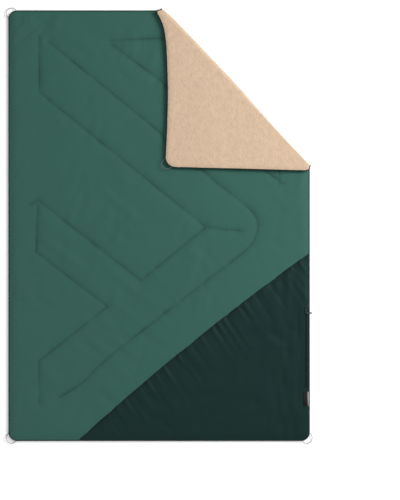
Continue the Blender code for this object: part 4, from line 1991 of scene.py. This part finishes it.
        def height(x: Array, y: Array) -> Array:
            """Height of whichever cloth lies there."""
            pocket = PLAN.seam_place(x, y)[0] < 0
            return np.where(pocket, FACE.panel(x, y), FACE.quilt(x, y))

        flat = [(v.x, v.y) for v in line]
        places = [p for p in stitch_places(flat, self.stitch_pitch, height)
                  if not (p.translation.x > 0.65 and -0.86 < p.translation.y < -0.36)]
        item = scatter("binding_thread", stitch_shape(self.stitch_length, self.thread), places)
        dress(item, DARK_THREAD)
        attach(item, "blanket")
        return item


@dataclass
class CornerLoops:
    """Elastic loops sewn into the corners."""

    diameter: float = 0.0025
    bulge: float = 0.020
    gap: float = 0.0003
    start_angle: float = math.radians(8)

    def path(self, corner: Point, back: Vector, ahead: Vector, height: float) -> list[Vector]:
        """Middle line of a loop round the outside of a corner.

        Args:
            corner: The corner's sharp point.
            back: Direction of one edge, away from the corner.
            ahead: Direction of the other.
            height: Height of the loop.

        Returns:
            Points of the loop.
        """
        back, ahead = back.normalized(), ahead.normalized()
        half = math.acos(max(-1.0, min(1.0, back.dot(ahead)))) / 2
        centre = Vector(corner) + (back + ahead).normalized() * (
            PLAN.corner_radius / math.sin(half))
        out = -(back + ahead).normalized()
        reach = math.pi / 2 - half - self.start_angle
        touch = PLAN.corner_radius + self.gap + self.diameter / 2
        points = []
        for k in range(37):
            t = k / 36
            radius = touch + self.bulge * math.sin(math.pi * t) ** 0.8
            flat = centre + Matrix.Rotation(-reach + 2 * reach * t, 2) @ (out * radius)
            points.append(Vector((flat.x, flat.y, height)))
        return points

    def build(self) -> list[Piece]:
        """Returns:
            The loops.
        """
        hw, hl = PLAN.width / 2, PLAN.length / 2
        head, side = Vector(PLAN.head_point), Vector(PLAN.side_point)
        tip = Vector(PLAN.flap_corner)
        low, high = PLAN.binding_height, 2 * PLAN.hinge_height - PLAN.binding_height
        made = []
        for node, body, corner, back, ahead, height in (
            ("loop_head_left", "head_left_loop", (-hw, hl), Vector((1, 0)), Vector((0, -1)), low),
            ("loop_foot_left", "foot_left_loop", (-hw, -hl), Vector((1, 0)), Vector((0, 1)), low),
            ("loop_foot_right", "foot_right_loop", (hw, -hl), Vector((-1, 0)), Vector((0, 1)),
             low),
            ("loop_flap", "corner_loop", PLAN.flap_corner, head - tip, side - tip, high),
        ):
            points = self.path(corner, back, ahead, height)
            item = sweep(node + "_elastic", points, self.diameter / 2, sides=12)
            dress(item, LOOP_GREY)
            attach(item, body)
            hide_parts(node)
            made.append(item)
        return made


@dataclass
class EdgeLabel:
    """The folded label at the right edge."""

    ply: float = 0.0006

    def build(self) -> list[Piece]:
        """Build and dress the label as one strip folded on itself.

        Returns:
            The label.
        """
        low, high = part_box("label")
        top, base = high.z - self.ply / 2, low.z + self.ply / 2
        reach = (top - base) / 2
        middle = (top + base) / 2
        path = [Vector((high.x - (high.x - low.x - reach) * k / 6, 0, top)) for k in range(7)]
        bend = low.x + reach + self.ply / 2
        path += [Vector((bend - reach * math.sin(a), 0, middle + reach * math.cos(a)))
                 for a in (math.pi * k / 8 for k in range(1, 8))]
        path += [Vector((low.x + reach + (high.x - low.x - reach) * k / 6, 0, base))
                 for k in range(7)]
        path = [Vector((max(p.x, low.x + self.ply / 2), p.y, p.z)) for p in path]
        shape = bmesh.new()
        verts = [shape.verts.new((p.x, low.y + 0.0003, p.z)) for p in path]
        edges = [shape.edges.new(pair) for pair in zip(verts, verts[1:])]
        grown = bmesh.ops.extrude_edge_only(shape, edges=edges)["geom"]
        ends = [g for g in grown if isinstance(g, bmesh.types.BMVert)]
        bmesh.ops.translate(shape, vec=(0, high.y - low.y - 0.0006, 0), verts=ends)
        bmesh.ops.recalc_face_normals(shape, faces=shape.faces)
        bmesh.ops.solidify(shape, geom=shape.faces[:], thickness=self.ply)
        bmesh.ops.recalc_face_normals(shape, faces=shape.faces)
        item = mesh_from("woven_label", shape)
        co = coordinates(item.data)
        co[:, 2] += middle - (co[:, 2].min() + co[:, 2].max()) / 2
        set_coordinates(item.data, co)
        dress(item, LABEL_BLACK)
        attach(item, "label")
        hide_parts("label")
        return [item]


@dataclass
class Studio:
    """The pale floor, the soft lights and the camera."""

    distance: float = 5.472
    lens: float = 85.0

    def build_floor(self) -> Piece:
        """A plain pale floor under the blanket.

        Returns:
            The floor.
        """
        shape = bmesh.new()
        bmesh.ops.create_grid(shape, x_segments=8, y_segments=8, size=9.0)
        bmesh.ops.translate(shape, vec=(0, 0, -0.0006), verts=shape.verts)
        item = mesh_from("studio_floor", shape)
        made, n, shader = start_material("studio floor", 0.9)
        place = n.add("ShaderNodeTexCoord").outputs["Object"]
        speck = n.noise(place, 3.0, 2.0)
        n.join(tinted(n, (0.93, 0.93, 0.93), n.span(speck, 0.3, 0.7, 0.99, 1.01)),
               shader.inputs["Base Color"])
        shader.inputs["Specular IOR Level"].default_value = 0.1
        item.data.materials.append(made)
        return item

    def build_lights(self) -> None:
        """Even light from all round, with a large soft light above and to the right."""
        world = bpy.data.worlds.new("studio")
        world.use_nodes = True
        back = world.node_tree.nodes["Background"]
        back.inputs["Color"].default_value = (1, 1, 1, 1)
        back.inputs["Strength"].default_value = 0.50
        bpy.context.scene.world = world
        for name, place, size, power in (
            ("key", (3.5, 1.6, 2.8), 2.2, 275.0),
            ("fill", (-2.6, -2.4, 3.8), 3.4, 72.0),
        ):
            light = bpy.data.lights.new(name, "AREA")
            light.shape = "SQUARE"
            light.size = size
            light.energy = power
            item = bpy.data.objects.new(name, light)
            item.location = place
            item.rotation_euler = (-Vector(place)).to_track_quat("-Z", "Y").to_euler()
            bpy.context.scene.collection.objects.link(item)

    def build_camera(self) -> None:
        """A camera square above the blanket."""
        camera = bpy.data.cameras.new("camera")
        camera.lens = self.lens
        camera.sensor_width = 36.0
        item = bpy.data.objects.new("camera", camera)
        item.location = (0.190, -0.113, self.distance + 0.018)
        bpy.context.scene.collection.objects.link(item)
        bpy.context.scene.camera = item

    def build(self) -> list[Piece]:
        """Build the whole set.

        Returns:
            The floor, which is its only piece.
        """
        for item in [o for o in bpy.data.objects if o.type in ("LIGHT", "CAMERA")]:
            bpy.data.objects.remove(item)
        self.build_camera()
        floor = self.build_floor()
        self.build_lights()
        bpy.context.scene.view_settings.view_transform = "Standard"
        return [floor]


def main() -> None:
    """Build every part in order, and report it."""
    logging.basicConfig(level=logging.INFO, format="%(name)s: %(message)s")
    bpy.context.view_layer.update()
    for part in (Studio(), CornerLoops(), QuiltedFace(), CornerPocket(), PocketZip(), Batting(),
                 FleeceLining(), EdgeBinding(), EdgeLabel()):
        for item in part.build():
            LOG.info("%s: built %s", type(part).__name__, item.name)


if __name__ == "__main__":
    main()
